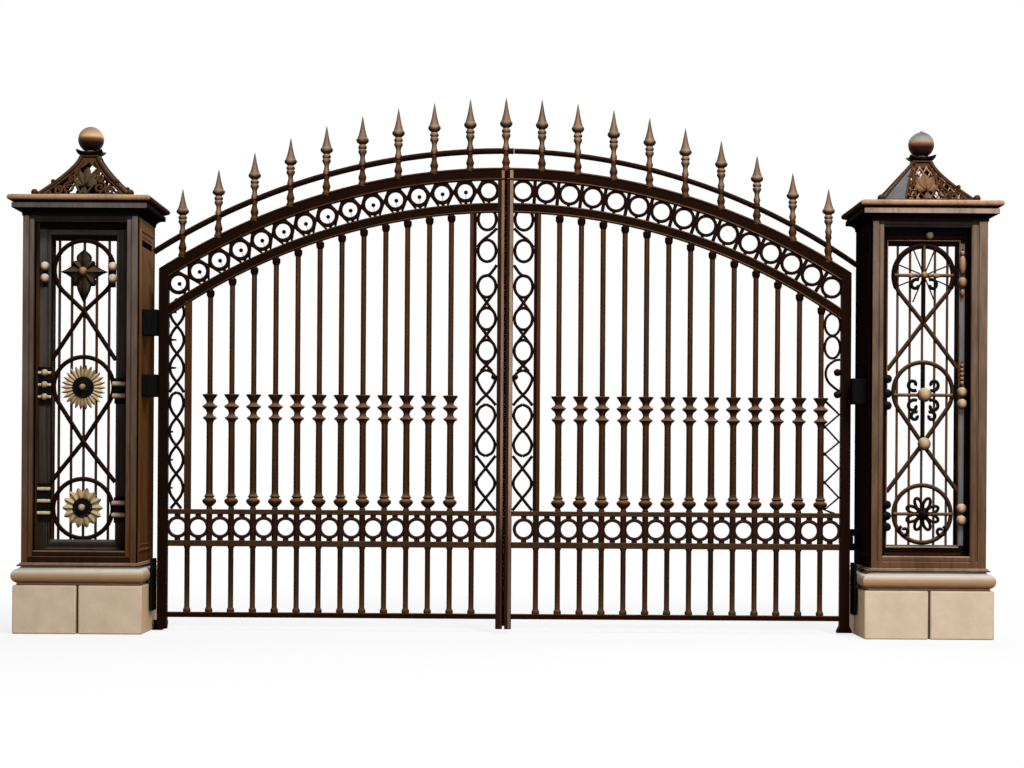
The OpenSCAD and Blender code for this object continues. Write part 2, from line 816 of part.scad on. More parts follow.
module spear_rail(side) {
    start_x = side == left ? -middle_rail_lap : middle_rail_lap + middle_rail_gap;
    color(dark_bronze) on_side(side) difference() {
        upright(spear_rail_h + 4)
            arch_band_2d(spear_rail_r0, spear_rail_r1, start_x, spear_rail_end_x);
        for (x = leaf_spear_xs(side))
            translate([x, 0, arch_z + spear_rail_r0 - arch_r])
                cylinder(d = spear_d + 2 * seat, h = arch_r + spear_h);
    }
}

// A turned spear from its seat on the arch to its tip
module spear(x) {
    seat_z = x == 0 ? middle_plate_z + middle_plate_h : arch_height(arch_r, x);
    rail_z = arch_height(spear_rail_r, x);
    tip_z = rail_z + spear_h - spear_fall * x / hinge_stile_x1;
    shaft = spear_d / 2;
    head = spear_head_d / 2;
    sink = x == 0 ? middle_plate_h / 2 : 30;
    above = rail_z + spear_rail_h / 2 + spear_d * 0.7;
    reach = tip_z - above;
    profile = [
        [0, seat_z - sink], [shaft * 1.9, seat_z - sink], [shaft * 1.9, seat_z + 10],
        [shaft, seat_z + 24], [shaft, above], [shaft, above + reach * 0.10],
        [shaft * 1.9, above + reach * 0.18], [shaft * 1.9, above + reach * 0.23],
        [shaft * 1.5, above + reach * 0.26], [shaft * 2, above + reach * 0.29],
        [shaft * 2, above + reach * 0.32], [shaft * 1.4, above + reach * 0.36],
        [head * 0.8, above + reach * 0.40], [head, above + reach * 0.44],
        [head, above + reach * 0.47], [head * 0.74, above + reach * 0.52],
        [head * 0.60, above + reach * 0.59], [head * 0.32, above + reach * 0.77],
        [head * 0.1, tip_z - 3], [0, tip_z]];
    translate([x, 0, 0]) turned(profile);
}

module spears(side) {
    half = meeting_stile_w / 2;
    color(bronze) on_side(side) {
        difference() {
            for (x = spear_xs) spear(x);
            arch_disc(arch_r + seat, 2 * spear_head_d);
        }
        if (side == left) {
            spear(0);
            box([-middle_plate_half, -half, middle_plate_z],
                [middle_plate_half, half, middle_plate_z + middle_plate_h]);
        }
    }
}

// Points of a flange of a turned bar, from below to above
function flange(z, core_r, outer_r, half) = [
    [core_r, z - half], [outer_r, z - half * 0.35], [outer_r, z + half * 0.35], [core_r, z + half]];

// A turned picket from the ring band up to the arch
module picket(x) {
    r = picket_d / 2;
    low_r = picket_low_d / 2;
    bulb_r = picket_bulb_d / 2;
    wide_r = picket_collar_d / 2;
    top_z = arch_height(arch_under_r, x) + picket_d;
    crown_z = collar_z + collar_rise;
    profile = concat(
        [[0, rail_top], [low_r, rail_top], [r, rail_top + bulb_h * 0.16],
         [bulb_r, rail_top + bulb_h * 0.46], [bulb_r, rail_top + bulb_h * 0.58],
         [low_r * 1.15, rail_top + bulb_h * 0.74], [low_r * 1.5, rail_top + bulb_h * 0.82],
         [low_r, rail_top + bulb_h], [low_r, collar_z - collar_drop - collar_half - weld]],
        flange(collar_z - collar_drop, r * 1.2, wide_r * 0.92, collar_half),
        flange(collar_z, r * 1.2, wide_r, collar_half * 1.2),
        [[r * 1.2, crown_z - crown_h], [wide_r * 0.95, crown_z - crown_h * 0.12],
         [wide_r * 0.95, crown_z], [r, crown_z + weld], [r, top_z], [0, top_z]]);
    intersection() {
        translate([x, 0, 0]) turned(profile);
        arch_disc(arch_under_r - seat, 2 * picket_collar_d);
    }
}

module pickets(side) {
    color(bronze) on_side(side) for (i = [1 : bar_count - 2]) picket(bar_xs[i]);
}

module cross_rails(side) {
    color(dark_bronze) on_side(side) {
        for (level = [[bottom_rail_z, bottom_rail_top], [band_z, band_low_top], [band_top_z, rail_top]])
            box([meeting_x1, -rail_d / 2, level[0]], [hinge_stile_x0, rail_d / 2, level[1]]);
    }
}

module ring_band(side) {
    post_w = lower_bar_d;
    stem_w = 22;
    ring_od = 112;
    mid_z = (band_low_top + band_top_z) / 2;
    edges = concat([meeting_x1], bar_xs, [hinge_stile_x0]);
    color(dark_bronze) on_side(side) upright(ring_depth) intersection() {
        translate([meeting_x1, band_low_top]) square([hinge_stile_x0 - meeting_x1, band_h]);
        union() {
            for (x = bar_xs) translate([x - post_w / 2, band_low_top]) square([post_w, band_h]);
            for (i = [0 : len(edges) - 2]) translate([(edges[i] + edges[i + 1]) / 2, 0]) {
                translate([0, mid_z]) ring_2d(ring_od, ring_bar);
                for (z = [band_low_top, band_top_z - band_h / 8])
                    translate([-stem_w / 2, z]) square([stem_w, band_h / 8]);
            }
        }
    }
}

module lower_bars(side) {
    r = lower_bar_d / 2;
    foot_h = 22;
    profile = [[0, bottom_rail_top], [r * 1.35, bottom_rail_top], [r * 1.35, bottom_rail_top + foot_h * 0.6],
               [r, bottom_rail_top + foot_h], [r, band_z], [0, band_z]];
    color(bronze) on_side(side) for (x = bar_xs) translate([x, 0, 0]) turned(profile);
}

// Two bars bent in opposite waves, so that they cross once in each pitch. Their bends
// pass the width by the weld, and the panel's edge cuts them flat there.
module crossed_waves_2d(low_z, high_z, pitch, width, bar) {
    swing = (width - bar + weld) / 2;
    samples = 9;
    count = ceil((high_z - low_z) / pitch) * samples;
    function turn(i) = 180 * (i - 0.5) / samples;
    function slope(i) = swing * PI / pitch * cos(turn(i));
    function offset_point(i, s) = [swing * sin(turn(i)), low_z + (i - 0.5) * pitch / samples]
        + s * bar / 2 / sqrt(1 + slope(i) * slope(i)) * [1, -slope(i)];
    outline = concat([for (i = [0 : count + 1]) offset_point(i, 1)],
                     [for (i = [count + 1 : -1 : 0]) offset_point(i, -1)]);
    polygon(outline);
    mirror([1, 0]) polygon(outline);
}

// Rings one above another, tied by crossed tails
module ring_chain_2d(top_z, count, pitch, outer_d, width, bar) {
    for (i = [0 : count - 1]) translate([0, top_z - i * pitch]) {
        ring_2d(outer_d, bar);
        for (s = [-1, 1]) {
            strip_2d([s * width * 0.44, -pitch * 0.22], [-s * width * 0.44, -pitch * 0.78], bar);
            if (i == 0) strip_2d([s * width * 0.44, pitch * 0.22], [0, pitch * 0.5], bar);
        }
    }
}

// A bar bent to and fro between the two stiles
module zigzag_2d(low_z, high_z, steps, width, bar) {
    rise = (high_z - low_z) / steps;
    reach = (width - bar) / 2;
    for (i = [0 : steps - 1]) {
        s = i % 2 == 0 ? 1 : -1;
        strip_2d([s * reach, low_z + i * rise], [-s * reach, low_z + (i + 1) * rise], bar);
    }
}

module meeting_panel_2d() {
    pitch = meeting_ring_pitch;
    top_ring_z = arch_height(arch_under_r, 0) - meeting_panel_w * 0.42;
    count = floor((top_ring_z - rail_top) / pitch);
    ring_chain_2d(top_ring_z, count, pitch, meeting_panel_w, meeting_panel_w, ring_bar);
    foot_z = top_ring_z - (count - 0.22) * pitch;
    for (s = [-1, 1])
        translate([s * meeting_panel_w * 0.44 - ring_bar / 2, rail_top])
            square([ring_bar, foot_z - rail_top + ring_bar]);
}

// Clear width of the hinge side panel, up to a stile on the left and a picket on the right
function hinge_panel_clear(side) = side == left ? hinge_panel_w
    : hinge_stile_x0 - last_bar_x - max(picket_d, picket_low_d) / 2 - seat;

module hinge_panel_2d(side) {
    bar = ring_bar * 0.85;
    top_z = arch_height(arch_under_r, last_bar_x);
    width = hinge_panel_clear(side);
    pitch = wave_pitch;
    eyes = floor((top_z - rail_top) / pitch);
    zigzag_top = rail_top + zigzag_h;
    if (side == left) {
        crossed_waves_2d(rail_top, top_z, pitch, width, bar);
        for (i = [0 : eyes])
            translate([width / 2 - spike_l, rail_top + (i + 0.5) * pitch - bar / 2])
                square([spike_l, bar]);
    } else {
        zigzag_2d(rail_top, zigzag_top, 8, width, bar);
        translate([0, zigzag_top]) crossed_waves_2d(0, top_z - zigzag_top, pitch, width, bar);
        for (i = [0, 1]) translate([width / 2 - knob_r * 0.4, zigzag_top + (i + 0.5) * pitch])
            circle(r = knob_r);
    }
}

// Room for the collars and the bulb of the picket beside the right hinge panel
module picket_room_2d() {
    room = picket_collar_d / 2 + 1;
    bulb_room = picket_bulb_d / 2 + 1;
    low = collar_z - collar_drop - collar_half - 2 * weld;
    high = collar_z + collar_rise + 2 * weld;
    translate([last_bar_x - room, low]) square([2 * room, high - low]);
    translate([last_bar_x - bulb_room, rail_top - weld]) square([2 * bulb_room, bulb_h + 2 * weld]);
}

module scroll_panels(side) {
    meeting_mid = (meeting_x1 + first_bar_x - inner_stile_w / 2) / 2;
    hinge_clear = hinge_panel_clear(side);
    color(dark_bronze) on_side(side) upright(ring_depth) {
        intersection() {
            arch_band_2d(rail_top - arch_z, arch_under_r - seat, meeting_x1, meeting_x1 + meeting_panel_w);
            translate([meeting_mid, 0]) meeting_panel_2d();
        }
        difference() {
            intersection() {
                translate([hinge_stile_x0 - hinge_clear, rail_top]) square([hinge_clear, arch_apex]);
                translate([0, arch_z]) circle(r = arch_under_r - seat, $fn = arc_fn);
                translate([hinge_stile_x0 - hinge_clear / 2, 0]) hinge_panel_2d(side);
            }
            if (side == right) picket_room_2d();
        }
    }
}

plinth(left);  // left_plinth
plinth(right);  // right_plinth
plinth_coping(left);  // left_plinth_coping
plinth_coping(right);  // right_plinth_coping
base_plate(left);  // left_base_plate
base_plate(right);  // right_base_plate
front_frame(left);  // left_front_frame
front_frame(right);  // right_front_frame
back_frame(left);  // left_back_frame
back_frame(right);  // right_back_frame
back_bars(left);  // left_back_bars
back_bars(right);  // right_back_bars
side_walls(left);  // left_side_walls
side_walls(right);  // right_side_walls
cornice(left);  // left_cornice
cornice(right);  // right_cornice
pagoda_roof(left);  // left_pagoda_roof
pagoda_roof(right);  // right_pagoda_roof
ball_finial(left);  // left_ball_finial
ball_finial(right);  // right_ball_finial
grille(left);  // left_grille
grille(right);  // right_grille
grille_ornaments(left);  // left_grille_ornaments
grille_ornaments(right);  // right_grille_ornaments
hinge_brackets(left);  // left_hinge_brackets
hinge_brackets(right);  // right_hinge_brackets
hinge_stile(left);  // left_hinge_stile
hinge_stile(right);  // right_hinge_stile
meeting_stile(left);  // left_meeting_stile
meeting_stile(right);  // right_meeting_stile
inner_stiles(left);  // left_inner_stiles
inner_stiles(right);  // right_inner_stiles
arch_rails(left);  // left_arch_rails
arch_rails(right);  // right_arch_rails
arch_rings(left);  // left_arch_rings
arch_rings(right);  // right_arch_rings
spear_rail(left);  // left_spear_rail
spear_rail(right);  // right_spear_rail
spears(left);  // left_spears
spears(right);  // right_spears
pickets(left);  // left_pickets
pickets(right);  // right_pickets
cross_rails(left);  // left_cross_rails
cross_rails(right);  // right_cross_rails
ring_band(left);  // left_ring_band
ring_band(right);  // right_ring_band
lower_bars(left);  // left_lower_bars
lower_bars(right);  // right_lower_bars
scroll_panels(left);  // left_scroll_panels
scroll_panels(right);  // right_scroll_panels
hinge_knuckles(left);  // left_hinge_knuckles
hinge_knuckles(right);  // right_hinge_knuckles
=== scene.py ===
# %% [markdown]
# A double-leaf driveway gate of bronzed wrought iron hangs between two openwork
# iron pillars on stone plinths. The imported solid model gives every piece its
# place, in metres. The lesson dresses it: turned pickets, bent rings, moulded
# frames and cast flowers take the place of the plain solids.

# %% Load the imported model
import math

import bmesh
import bpy
from mathutils import Matrix, Vector


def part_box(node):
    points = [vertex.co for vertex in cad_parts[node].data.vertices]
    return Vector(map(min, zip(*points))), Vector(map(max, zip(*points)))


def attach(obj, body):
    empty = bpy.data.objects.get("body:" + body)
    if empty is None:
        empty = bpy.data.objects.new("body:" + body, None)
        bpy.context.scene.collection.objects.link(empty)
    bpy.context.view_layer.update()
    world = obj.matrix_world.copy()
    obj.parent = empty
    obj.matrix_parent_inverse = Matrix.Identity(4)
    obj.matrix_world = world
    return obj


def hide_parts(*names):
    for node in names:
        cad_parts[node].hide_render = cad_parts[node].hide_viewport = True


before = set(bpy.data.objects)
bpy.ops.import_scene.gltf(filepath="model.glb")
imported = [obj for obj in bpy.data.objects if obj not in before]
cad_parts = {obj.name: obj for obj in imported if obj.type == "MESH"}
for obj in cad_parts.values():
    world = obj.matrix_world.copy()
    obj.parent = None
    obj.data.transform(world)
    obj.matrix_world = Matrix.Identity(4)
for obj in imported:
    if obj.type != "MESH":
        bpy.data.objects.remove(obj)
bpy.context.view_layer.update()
LEFT = -1
RIGHT = 1
SIDES = ((LEFT, "left"), (RIGHT, "right"))
print("loaded", len(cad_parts), "nodes")

# %% [markdown]
# The photograph looks straight at the gate from waist height and well back, so the
# lens is long. The frame's centre lies above the eye line: a lens shift does that
# without tilting the camera, and the uprights stay upright.

# %% Camera
camera_data = bpy.data.cameras.new("camera")
camera_data.lens = 84.06
camera_data.sensor_width = 36.0
camera_data.shift_x = 0.0078
camera_data.shift_y = 0.084
camera = bpy.data.objects.new("camera", camera_data)
camera.location = (0.0, -12.1, 0.823)
camera.rotation_euler = (math.radians(90), math.radians(-0.37), 0.0)
bpy.context.scene.collection.objects.link(camera)
bpy.context.scene.camera = camera
bpy.context.scene.view_settings.view_transform = "Standard"
print("camera at", tuple(camera.location))

# %% [markdown]
# A studio sweep is a white world, a pale floor and soft lamps. The world shows
# white to the camera and in reflections, and gives only a weak light otherwise, so
# the undersides of the iron stay dark. The floor keeps a soft shadow.


# %% Studio
def add_node(tree, kind, **settings):
    node = tree.nodes.new(kind)
    for key, value in settings.items():
        setattr(node, key, value)
    return node


def math_node(tree, operation, first, second=0.0, clamp=False):
    node = add_node(tree, "ShaderNodeMath", operation=operation, use_clamp=clamp)
    for socket, value in zip(node.inputs, (first, second)):
        if isinstance(value, (int, float)):
            socket.default_value = value
        else:
            tree.links.new(value, socket)
    return node.outputs[0]


def seen_white(tree):
    """1 for rays from the camera, from reflections and through glass."""
    path = add_node(tree, "ShaderNodeLightPath")
    seen = math_node(tree, "ADD", path.outputs["Is Camera Ray"], path.outputs["Is Glossy Ray"])
    return math_node(tree, "ADD", seen, path.outputs["Is Transmission Ray"], clamp=True)


world = bpy.data.worlds.new("studio_world")
bpy.context.scene.world = world
world.use_nodes = True
world_tree = world.node_tree
world_tree.nodes.clear()
ambient = add_node(world_tree, "ShaderNodeBackground")
ambient.inputs["Color"].default_value = (1.0, 1.0, 1.0, 1.0)
ambient.inputs["Strength"].default_value = 0.12
paper = add_node(world_tree, "ShaderNodeBackground")
paper.inputs["Color"].default_value = (1.0, 1.0, 1.0, 1.0)
paper.inputs["Strength"].default_value = 1.0
world_mix = add_node(world_tree, "ShaderNodeMixShader")
world_out = add_node(world_tree, "ShaderNodeOutputWorld")
world_tree.links.new(seen_white(world_tree), world_mix.inputs["Fac"])
world_tree.links.new(ambient.outputs[0], world_mix.inputs[1])
world_tree.links.new(paper.outputs[0], world_mix.inputs[2])
world_tree.links.new(world_mix.outputs[0], world_out.inputs["Surface"])

floor_mat = bpy.data.materials.new("pale_floor")
floor_mat.use_nodes = True
floor_tree = floor_mat.node_tree
floor_tree.nodes.clear()
floor_diffuse = add_node(floor_tree, "ShaderNodeBsdfDiffuse")
floor_diffuse.inputs["Color"].default_value = (0.86, 0.86, 0.86, 1.0)
floor_glow = add_node(floor_tree, "ShaderNodeEmission")
floor_mix = add_node(floor_tree, "ShaderNodeMixShader")
floor_out = add_node(floor_tree, "ShaderNodeOutputMaterial")
floor_coords = add_node(floor_tree, "ShaderNodeTexCoord")
floor_reach = add_node(floor_tree, "ShaderNodeVectorMath", operation="LENGTH")
floor_tree.links.new(floor_coords.outputs["Object"], floor_reach.inputs[0])
floor_fade = add_node(floor_tree, "ShaderNodeMapRange")
floor_fade.inputs["From Min"].default_value = 2.0
floor_fade.inputs["From Max"].default_value = 5.0
floor_fade.inputs["To Min"].default_value = 0.80
floor_fade.inputs["To Max"].default_value = 1.0
floor_tree.links.new(floor_reach.outputs["Value"], floor_fade.inputs["Value"])
glow_share = math_node(floor_tree, "MULTIPLY", seen_white(floor_tree), floor_fade.outputs[0])
floor_tree.links.new(glow_share, floor_mix.inputs["Fac"])
floor_tree.links.new(floor_diffuse.outputs[0], floor_mix.inputs[1])
floor_tree.links.new(floor_glow.outputs[0], floor_mix.inputs[2])
floor_tree.links.new(floor_mix.outputs[0], floor_out.inputs["Surface"])
floor_mesh = bpy.data.meshes.new("floor")
FLOOR = 60.0
floor_mesh.from_pydata(
    [(-FLOOR, -FLOOR, 0.0), (FLOOR, -FLOOR, 0.0), (FLOOR, FLOOR, 0.0), (-FLOOR, FLOOR, 0.0)],
    [], [(0, 1, 2, 3)])
floor_mesh.materials.append(floor_mat)
floor = bpy.data.objects.new("floor", floor_mesh)
floor.location.z = -0.001
bpy.context.scene.collection.objects.link(floor)


def area_lamp(name, place, target, size, watts):
    data = bpy.data.lights.new(name, "AREA")
    data.size = size
    data.energy = watts
    lamp = bpy.data.objects.new(name, data)
    lamp.location = place
    lamp.rotation_euler = (Vector(target) - Vector(place)).to_track_quat("-Z", "Y").to_euler()
    bpy.context.scene.collection.objects.link(lamp)


area_lamp("key_lamp", (3.4, -8.0, 8.2), (0.0, 0.0, 1.2), 3.0, 1290.0)
area_lamp("fill_lamp", (2.6, -11.5, 2.2), (0.0, 0.0, 1.1), 3.0, 300.0)
area_lamp("back_lamp", (1.0, 7.0, 6.5), (0.0, 0.0, 1.2), 4.0, 420.0)
print("studio ready")

# %% [markdown]
# The iron is black paint with copper bronze brushed over it. The finish lays the brush on
# the faces that stand forward, lighter there as a painted highlight, puts a paler painted
# highlight on the tops and painted shade on the undersides, and leaves the flanks and hollows
# dark. The finish reads the surface's own direction for that, with noise to break it up, so
# the brushing and the painted light stay with the piece when a leaf swings.


# %% Finishes
EVEN = (1.0, 1.0, 1.0)


def colour_mix(tree, factor, first, second):
    node = add_node(tree, "ShaderNodeMix", data_type="RGBA")
    for socket, value in ((node.inputs[0], factor), (node.inputs[6], first), (node.inputs[7], second)):
        if isinstance(value, (int, float)):
            socket.default_value = value
        elif isinstance(value, tuple):
            socket.default_value = value + (1.0,)
        else:
            tree.links.new(value, socket)
    return node.outputs[2]


def noise_node(tree, coords, stretch, scale, detail=4.0):
    mapping = add_node(tree, "ShaderNodeMapping")
    mapping.inputs["Scale"].default_value = stretch
    tree.links.new(coords, mapping.inputs["Vector"])
    noise = add_node(tree, "ShaderNodeTexNoise")
    noise.inputs["Scale"].default_value = scale
    noise.inputs["Detail"].default_value = detail
    tree.links.new(mapping.outputs[0], noise.inputs["Vector"])
    return noise.outputs["Fac"]


def spread(tree, value, low, high, to_low=0.0, to_high=1.0):
    node = add_node(tree, "ShaderNodeMapRange")
    node.inputs["From Min"].default_value = low
    node.inputs["From Max"].default_value = high
    node.inputs["To Min"].default_value = to_low
    node.inputs["To Max"].default_value = to_high
    tree.links.new(value, node.inputs["Value"])
    return node.outputs[0]


def axes_of(tree, vector):
    """The three parts of a vector, by letter."""
    split = add_node(tree, "ShaderNodeSeparateXYZ")
    tree.links.new(vector, split.inputs[0])
    return split.outputs


def new_finish(name, specular, bump_height, bump_source):
    """A material with its shader; returns both with the tree, the coordinates and the grain."""
    material = bpy.data.materials.new(name)
    material.use_nodes = True
    tree = material.node_tree
    tree.nodes.clear()
    shader = add_node(tree, "ShaderNodeBsdfPrincipled")
    shader.inputs["Metallic"].default_value = 0.0
    shader.inputs["Specular IOR Level"].default_value = specular
    output = add_node(tree, "ShaderNodeOutputMaterial")
    tree.links.new(shader.outputs[0], output.inputs["Surface"])
    coords = add_node(tree, "ShaderNodeTexCoord")
    stretch, scale = bump_source
    grain = noise_node(tree, coords.outputs["Object"], stretch, scale, 6.0)
    bump = add_node(tree, "ShaderNodeBump")
    bump.inputs["Strength"].default_value = 0.35
    bump.inputs["Distance"].default_value = bump_height
    tree.links.new(grain, bump.inputs["Height"])
    tree.links.new(bump.outputs[0], shader.inputs["Normal"])
    return material, tree, shader, coords, grain


def brushed_iron_painted_light(name, dark, face, top_highlight, forward=0.85, base=0.0, low=None, heights=(0.5, 1.9),
                 sharp=3.0, specular=0.0):
    """Black iron with bronze brushed on the faces that stand forward, bright there as a painted
    highlight too, a paler painted highlight on what looks up and painted shade on what looks
    down. low is the face colour near the ground, blended upward over heights."""
    material, tree, shader, coords, grain = new_finish(name, specular, 0.0015, ((1.0, 1.0, 0.6), 90.0))
    way = axes_of(tree, coords.outputs["Normal"])
    if low:
        up = axes_of(tree, coords.outputs["Object"])["Z"]
        face = colour_mix(tree, spread(tree, up, heights[0], heights[1]), low, face)
    streak = noise_node(tree, coords.outputs["Object"], (1.0, 1.0, 0.12), 55.0)
    blotch = noise_node(tree, coords.outputs["Object"], (1.0, 1.0, 0.5), 7.0)
    wear = math_node(tree, "MULTIPLY", spread(tree, streak, 0.3, 0.7, 0.75, 1.2),
                     spread(tree, blotch, 0.3, 0.7, 0.75, 1.25))
    # painted highlight: faces that look forward get the brushed colour, lighter as if lit from the front
    facing = math_node(tree, "POWER", math_node(tree, "ABSOLUTE", way["Y"]), sharp)
    brush_and_highlight = math_node(tree, "ADD", math_node(tree, "MULTIPLY", facing, forward), base)
    brush_and_highlight = math_node(tree, "MULTIPLY", brush_and_highlight, wear, clamp=True)
    colour = colour_mix(tree, brush_and_highlight, dark, face)
    # painted highlight: a paler colour on what looks up
    top_highlight_share = math_node(tree, "POWER", math_node(tree, "MAXIMUM", way["Z"], 0.0), 1.4)
    colour = colour_mix(tree, math_node(tree, "MULTIPLY", top_highlight_share, wear, clamp=True), colour, top_highlight)
    # painted shade: near black on what looks down
    underside_shade = math_node(tree, "MAXIMUM", math_node(tree, "MULTIPLY", way["Z"], -0.9), 0.0)
    colour = colour_mix(tree, underside_shade, colour, (0.0025, 0.0012, 0.0008))
    tree.links.new(colour, shader.inputs["Base Color"])
    tree.links.new(spread(tree, grain, 0.25, 0.75, 0.42, 0.68), shader.inputs["Roughness"])
    return material


BLACK = (0.006, 0.003, 0.0018)
GLOSS = 0.03
bronze = brushed_iron_painted_light("bronze_iron", BLACK, (0.065, 0.0240, 0.0068), (0.24, 0.13, 0.065), 0.85, 0.0,
                      (0.042, 0.0138, 0.0026), (0.7, 1.5), specular=GLOSS)
roof_bronze = brushed_iron_painted_light("roof_bronze", BLACK, (0.062, 0.0255, 0.009), (0.125, 0.056, 0.023),
                           specular=GLOSS)
warm_bronze = brushed_iron_painted_light("warm_bronze", BLACK, (0.112, 0.049, 0.019), (0.30, 0.17, 0.09),
                           specular=GLOSS)
strap_bronze = brushed_iron_painted_light("strap_bronze", BLACK, (0.034, 0.0145, 0.0065), (0.22, 0.12, 0.06),
                            specular=GLOSS)
rail_bronze = brushed_iron_painted_light("rail_bronze", BLACK, (0.046, 0.022, 0.0105), (0.17, 0.10, 0.06), 0.85, 0.0,
                           (0.012, 0.0035, 0.001), (0.15, 0.42))
spear_bronze = brushed_iron_painted_light("spear_bronze", (0.010, 0.005, 0.003), (0.215, 0.120, 0.070),
                            (0.52, 0.36, 0.24), sharp=4.5, specular=GLOSS)
# painted highlight: the bright strip on the lit half of each meeting tube, brighter on the right leaf
strip_bronze_highlight = {
    LEFT: brushed_iron_painted_light("left_strip_bronze", BLACK, (0.215, 0.118, 0.072), (0.30, 0.18, 0.11), 0.9, 0.0,
                       (0.034, 0.016, 0.009), (0.45, 0.80)),
    RIGHT: brushed_iron_painted_light("right_strip_bronze", BLACK, (0.300, 0.200, 0.128), (0.36, 0.24, 0.15), 0.9, 0.0,
                        (0.115, 0.068, 0.040), (0.45, 0.80))}
stile_dark = brushed_iron_painted_light("stile_dark", BLACK, (0.020, 0.0065, 0.003), (0.10, 0.05, 0.03), specular=GLOSS)
pillar_finish = {
    LEFT: brushed_iron_painted_light("left_pillar_bronze", (0.007, 0.004, 0.003), (0.112, 0.086, 0.072),
                       (0.36, 0.23, 0.15), 0.85, 0.0, (0.084, 0.038, 0.0175)),
    RIGHT: brushed_iron_painted_light("right_pillar_bronze", (0.007, 0.004, 0.003), (0.150, 0.100, 0.068),
                        (0.36, 0.23, 0.15), 0.85, 0.0, (0.104, 0.053, 0.027))}
foot_bronze = brushed_iron_painted_light("foot_bronze", BLACK, (0.018, 0.0075, 0.004), (0.20, 0.12, 0.08))
# painted shade: the head rail of each pillar face is near black, as shade under the cornice
head_painted_shade = brushed_iron_painted_light("head_painted_shade", (0.003, 0.0025, 0.002), (0.015, 0.011, 0.010), (0.03, 0.024, 0.02))
# painted highlight: bright copper on the cornice slab's rounded edge, over the brushing
slab_brush_highlight = brushed_iron_painted_light("slab_brush_highlight", (0.020, 0.009, 0.005), (0.30, 0.165, 0.088), (0.66, 0.45, 0.31),
                           0.9, 0.12)
fillet_finish = {
    LEFT: brushed_iron_painted_light("fillet_grey", (0.004, 0.003, 0.003), (0.100, 0.078, 0.068), (0.12, 0.10, 0.09),
                       0.9),
    RIGHT: brushed_iron_painted_light("fillet_copper", (0.004, 0.003, 0.003), (0.290, 0.200, 0.145), (0.32, 0.23, 0.17),
                        0.9)}
# painted shade: near black for the cornice hollow and the head of the grille openings
painted_shade_black = brushed_iron_painted_light("painted_shade_black", (0.002, 0.0017, 0.0015), (0.005, 0.004, 0.0036),
                            (0.02, 0.017, 0.015))
# painted light: the left inner wall is a lit copy and the right one a near black painted shade copy
wall_finish = {
    LEFT: brushed_iron_painted_light("wall_bronze_painted_lit", (0.010, 0.005, 0.003), (0.170, 0.090, 0.040), (0.18, 0.10, 0.05),
                       0.0, 0.92, (0.088, 0.036, 0.0115), (1.5, 2.0)),
    RIGHT: brushed_iron_painted_light("wall_painted_shade", (0.004, 0.002, 0.0015), (0.011, 0.0055, 0.004), (0.05, 0.03, 0.02),
                        0.0, 0.92)}
dark_iron = brushed_iron_painted_light("dark_iron", (0.005, 0.0026, 0.0016), (0.031, 0.0125, 0.005),
                         (0.13, 0.072, 0.043), 0.85, 0.0, (0.012, 0.0035, 0.001), (0.15, 0.42),
                         specular=0.02)
deep_iron = brushed_iron_painted_light("deep_iron", (0.004, 0.0018, 0.0012), (0.0095, 0.0030, 0.0015),
                         (0.05, 0.025, 0.015), specular=0.01)
grey_iron = brushed_iron_painted_light("grey_iron", (0.006, 0.005, 0.0045), (0.062, 0.051, 0.046), (0.11, 0.094, 0.083),
                         0.9, 0.0, (0.034, 0.022, 0.016))
sheet_grey = brushed_iron_painted_light("sheet_grey", (0.060, 0.060, 0.060), (0.085, 0.084, 0.083), (0.10, 0.10, 0.10),
                          0.5, 0.3)
roof_sheet = brushed_iron_painted_light("roof_sheet", (0.05, 0.05, 0.052), (0.150, 0.152, 0.162), (0.17, 0.172, 0.185),
                          0.5, 0.4, (0.045, 0.044, 0.045), (2.20, 2.34))
strip_grey = brushed_iron_painted_light("strip_grey", (0.05, 0.05, 0.055), (0.135, 0.135, 0.148), (0.16, 0.16, 0.17),
                          0.9)
copper = brushed_iron_painted_light("copper_bronze", (0.030, 0.012, 0.006), (0.30, 0.160, 0.080), (0.66, 0.42, 0.26),
                      0.8, 0.05, specular=GLOSS)
leaf_bronze = brushed_iron_painted_light("leaf_bronze", (0.004, 0.003, 0.002), (0.080, 0.054, 0.030),
                           (0.135, 0.090, 0.045), 0.9, 0.0, None, (0.5, 1.9), 5.0)
cream = brushed_iron_painted_light("cream_copper", (0.10, 0.042, 0.02), (0.66, 0.50, 0.36), (0.96, 0.86, 0.74), 0.85,
                     0.05, specular=GLOSS)
globe_gold = brushed_iron_painted_light("globe_gold", (0.060, 0.026, 0.012), (0.47, 0.30, 0.175), (0.76, 0.58, 0.42),
                          0.85, 0.05, specular=GLOSS)
gold = brushed_iron_painted_light("antique_gold", (0.050, 0.022, 0.006), (0.54, 0.39, 0.195), (0.84, 0.70, 0.46), 0.85)
band_gold = brushed_iron_painted_light("band_gold", (0.060, 0.026, 0.012), (0.40, 0.275, 0.17), (0.66, 0.50, 0.34),
                         0.85, 0.05)
black_iron = brushed_iron_painted_light("black_iron", (0.003, 0.003, 0.003), (0.006, 0.0055, 0.0055),
                          (0.024, 0.022, 0.021))


